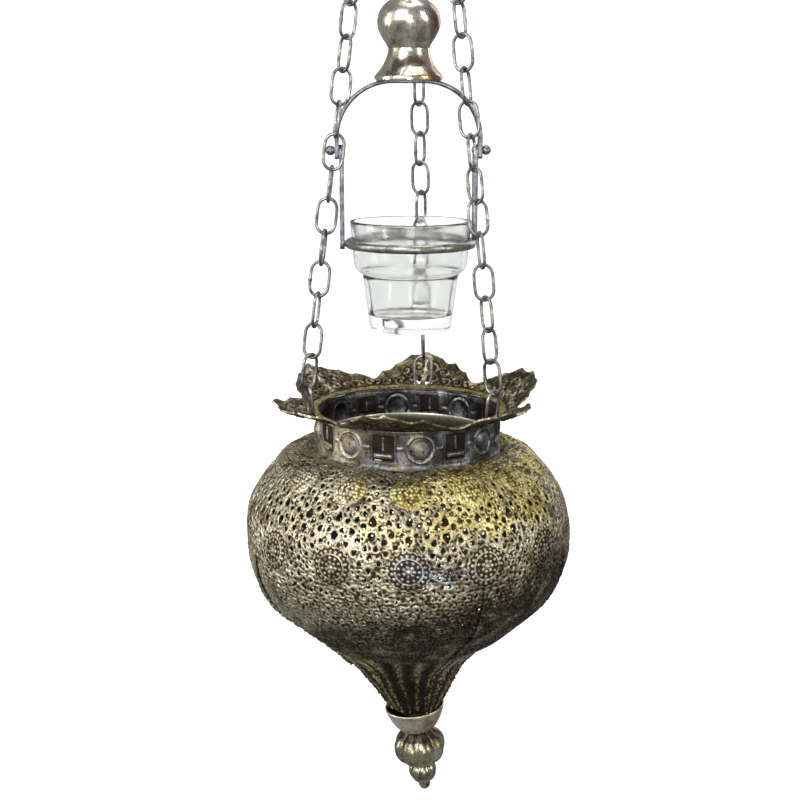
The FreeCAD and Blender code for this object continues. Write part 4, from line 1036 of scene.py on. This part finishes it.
def add_collar():
    """The upright band: domed roundels between framed panels, each panel with a bar and a post."""
    turn, down = np.meshgrid(np.arange(0, 360, 0.56), np.linspace(0, COLLAR_HEIGHT + 2.6, 47))
    offset = (turn - FIRST_ROUNDEL + ROUNDEL_TURN / 2) % ROUNDEL_TURN - ROUNDEL_TURN / 2
    x = np.radians(offset) * COLLAR_RADIUS
    y = down - ROUNDEL_DOWN
    from_roundel, from_panel = abs(x), math.radians(ROUNDEL_TURN / 2) * COLLAR_RADIUS - abs(x)
    distance = np.hypot(x, y)
    dome = 1.9 * np.sqrt(np.clip(1 - (distance / 5.4) ** 2, 0, 1))
    work = 0.85 * mound(distance - 7.2, 0.62)
    work += bar(from_roundel - 10.6, y + 0.4, 3.6, 1.5, 0.6)
    work += bar(from_panel, y, 15.0, 14.5, -0.55, 0.6)
    work += bar(from_panel, y - 4.2, 10.4, 2.4, 1.1)
    work += bar(from_roundel - 13.4, y, 1.2, 15, 0.45)
    work += bar(from_panel, y + 2.4, 1.1, 7.5, 0.6)
    work += 0.5 * mound(down - 0.8, 0.7)
    dents = 0.22 * wave(turn, 7, down * 0.3) + 0.15 * wave(turn, 17, -down * 0.4)
    radius = COLLAR_RADIUS + 0.35 * np.clip(down - COLLAR_HEIGHT + 2.0, 0, 4) ** 1.5
    place = polar(radius, turn, COLLAR_TOP - np.minimum(down, COLLAR_HEIGHT + 0.3))
    normal = polar(1, turn, 0 * turn)
    relief = np.clip(0.42 + 0.5 * work, 0, 1)
    black = np.interp((turn + 160) % 360 - 160, COLLAR_AZIMUTHS, COLLAR_BLACK)
    sheet_mesh("embossed_collar", place, normal, work + dome + dents, np.ones(turn.shape), RIM_THICKNESS,
               {"relief": (relief, None), "patina_and_shade": (black, 0.9)}, BLACKENED, "collar_band", wrap=True)
    hoop = [(49.4, 0), (50.2, 0), (50.2, 6.4), (49.9, 7.0), (49.5, 6.9), (49.4, 6.2)]
    turned("pale_hoop", hoop, PALE, "bowl", "inner_hoop", "pierced_metal", COLLAR_TOP - COLLAR_HEIGHT, 160,
           wobble=0.05)


PETAL_FIRST, PETAL_REACH, PETAL_VALLEY, PETAL_RISE = 20.7, 79.0, 61.0, 10.0
# Each petal has been bent differently in use: azimuth, and how far it rises against the rest.
PETAL_BENDS = [(20.7, 1.5), (80.7, 1.6), (140.7, 1.3), (200.7, 0.8), (260.7, 1.4), (320.7, 1.0)]
SEWING_HOLE_RADIUS, SEWING_SPACING = 2.15, 6.8
# Spiral leaves of half a petal: place across, distance out, radius and hand.
PETAL_CURLS = [(5.4, 9.6, 4.6, 1), (13.6, 8.0, 4.2, -1), (4.4, 18.6, 4.0, -1), (21.5, 7.4, 3.8, 1),
               (11.5, 15.5, 3.6, 1), (28.0, 7.0, 3.2, -1)]
# The size in millimetres at which the flat grid of the petals is worked out.
GRID_RADIUS, GRID_REACH = 62, 18


def add_petals():
    turn, share = np.meshgrid(np.arange(0, 360, 0.5), np.linspace(0, 1, 50))
    phase = (turn - PETAL_FIRST) / 60
    from_tip = abs(phase - np.round(phase)) * 2
    edge = PETAL_VALLEY + (PETAL_REACH - PETAL_VALLEY) * (1 - from_tip ** 1.5)
    edge = edge - 1.2 * abs(wave(turn - PETAL_FIRST, 24)) - 0.5 * wave(turn, 19) ** 2
    radius = COLLAR_RADIUS + (edge - COLLAR_RADIUS) * share
    out = np.maximum(radius - COLLAR_RADIUS, 0) / (PETAL_REACH - COLLAR_RADIUS)
    rise = PETAL_RISE * np.interp(turn, *zip(*PETAL_BENDS), period=360) * out ** 1.4
    rise = rise + 0.9 * share ** 2 * wave(turn, 13, 1.0) + 0.5 * share ** 2 * wave(turn, 29)

    x = np.radians((phase - np.round(phase)) * 60) * radius
    y = radius - COLLAR_RADIUS
    side = abs(x)
    work = 0.16 * np.sin(side * 1.9 + 0.8 * np.sin(y * 0.9)) * np.sin(y * 1.7 + 0.9 * np.sin(side * 0.7))
    for across, outward, size, hand in PETAL_CURLS:
        work = work + 2.0 * curl(side - across, y - outward, size, hand, 3.0)
    work = work + 0.7 * mound(x, 1.4 + 0.05 * y) * (y > 4)
    work = work + 0.55 * mound((1 - share) * (edge - COLLAR_RADIUS), 0.9)
    plain = fade(y, 3.4, 0.8)
    work = (work - 0.35 * mound(y - 4.2, 0.5)) * plain

    clear = np.full(turn.shape, 9.0)
    for azimuth in (BACK_AZIMUTH, LEFT_AZIMUTH, RIGHT_AZIMUTH):
        lower, _ = rim_contacts(azimuth)
        centre = np.hypot(lower[0], lower[1])
        along = np.radians((turn - azimuth + 180) % 360 - 180) * centre
        for way in (-1, 1):
            gap = np.hypot(along - way * SEWING_SPACING / 2, radius - centre) - SEWING_HOLE_RADIUS
            clear = np.minimum(clear, gap)
    arc, reach, clear = snapped(np.radians(turn) * GRID_RADIUS, share * GRID_REACH, clear)
    turn = np.degrees(arc / GRID_RADIUS)
    radius = COLLAR_RADIUS + (edge - COLLAR_RADIUS) * reach / GRID_REACH
    place = polar(radius, turn, COLLAR_TOP + RIM_THICKNESS + rise)
    slope = np.gradient(rise, axis=0) / np.maximum(np.gradient(radius, axis=0), 1e-6)
    size = np.hypot(1, slope)
    normal = polar(-slope / size, turn, 1 / size)
    relief = np.clip(0.36 + 0.6 * work, 0, 1)
    sheet_mesh("chased_petals", place, normal, work, clear, RIM_THICKNESS,
               {"relief": (relief, None), "patina_and_shade": (0.25 + 0.6 * plain, 0.8), "gilding": (1 - plain, 0.3)},
               ANTIQUE, "petal_rim", wrap=True)


# ---- cup and finial ----

# How far each piece's foot is below the tail joint.
FEET = {"bottom_cup": 49.5, "finial_ball": 71.5, "finial_bead": 84.0, "finial_tip": 90.0}
FINIAL_HOLE = 1.6


def finial(name, outline, material, node, sides, lobes=0, depth=0.0, spin=0.0, painted_cup_shadow=None):
    """A turned piece on the tail's axis, with creases between its lobes where it has any.

    The last argument gives how much painted shadow each point of the outline takes, as a share, where it has
    any.
    """
    vertices, faces = turned_points(outline, sides)
    x, y, _ = vertices.T
    radius = np.maximum(np.hypot(x, y), 1e-6)
    angle = np.arctan2(y, x)
    dent = depth * (1 - abs(np.sin(lobes / 2 * angle + spin)) ** 0.6) if lobes else 0.12 * np.sin(3 * angle)
    vertices[:, :2] *= (1 - dent * fade(radius, 2, 4) / radius)[:, None]
    item = piece(name, on_tail(vertices, FEET[node]), faces, material, "bowl", node, "aged_brass")
    if painted_cup_shadow is not None:
        mark(item, "painted_cup_shadow", np.repeat(painted_cup_shadow, sides))


def add_finial():
    """The cup and the turned pieces under it."""
    cup = smooth_line([
        (7.6, 0.0), (9.6, 0.7), (12.2, 3.2), (14.5, 6.8), (16.2, 10.6), (17.4, 14.0), (17.6, 14.9),
        (17.5, 15.5), (17.1, 15.7), (16.6, 15.0), (15.4, 10.8), (13.8, 7.4), (11.6, 4.0), (9.0, 1.6),
        (7.0, 1.1)], 4).tolist()
    cup += [(FINIAL_HOLE, 0.9), (FINIAL_HOLE, 0.0)]
    # Painted shadow inside the cup.
    inside = fade(np.linspace(0, 1, len(cup)), 0.55, 0.06)
    finial("turned_cup", cup, PALE, "bottom_cup", 128, painted_cup_shadow=np.minimum(inside, 0.95))

    height = 22
    ball = smooth_line([
        (6.4, 0), (9.2, 0.6), (12.6, 2.8), (14.9, 6.6), (15.5, 10.4), (15.0, 14.2), (12.8, 17.6),
        (9.6, 20.2), (7.6, height)], 6).tolist()
    ball += [(FINIAL_HOLE, height), (FINIAL_HOLE, 0)]
    # Painted shadow on the top of the ball, under the cup.
    under_cup = fade(np.array(ball)[:, 1] / height, 0.62, 0.25)
    finial("turned_finial_ball", ball, LOBED, "finial_ball", 160, 8, 2.3, 0.5, np.minimum(under_cup, 0.85))

    bead = smooth_line([
        (4.2, 0), (6.3, 1.3), (7.9, 4.0), (8.4, 6.8), (7.8, 9.5), (6.4, 11.5), (5.0, 12.5)], 6)
    bead = bead.tolist() + [(FINIAL_HOLE, 12.5), (FINIAL_HOLE, 0)]
    finial("turned_finial_bead", bead, BEAD, "finial_bead", 128, 7, 1.0, 0.2)

    tip = smooth_line([(0.6, 0.0), (1.9, 0.5), (3.1, 1.9), (3.6, 4.0), (3.5, 6.0)], 6).tolist()
    tip = [(0, 0)] + tip + [(FINIAL_HOLE, 6), (FINIAL_HOLE, 2.4), (0, 2.4)]
    finial("turned_finial_tip", tip, LOBED, "finial_tip", 64, 5, 0.4)


# ---- the small plain parts keep their own shape ----

def finish_plain_parts():
    metals = {
        STEEL: ("suspension_link", "swivel_eye", "crown_eyelets"),
        SILVER: ("crown_cap",),
        FASTENER: ("swivel_stem", "crown_nuts", "crown_washer", "eye_nut", "spindle_rod", "finial_washer",
                   "finial_nut", "finial_rod"),
    }
    for material, labels in metals.items():
        for label in labels:
            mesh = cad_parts[label].data
            mesh.materials.clear()
            mesh.materials.append(material)


add_camera()
add_stage()
add_lights()
add_chains()
add_spindle()
add_ring()
add_glass()
add_bowl()
add_collar()
add_petals()
add_finial()
finish_plain_parts()
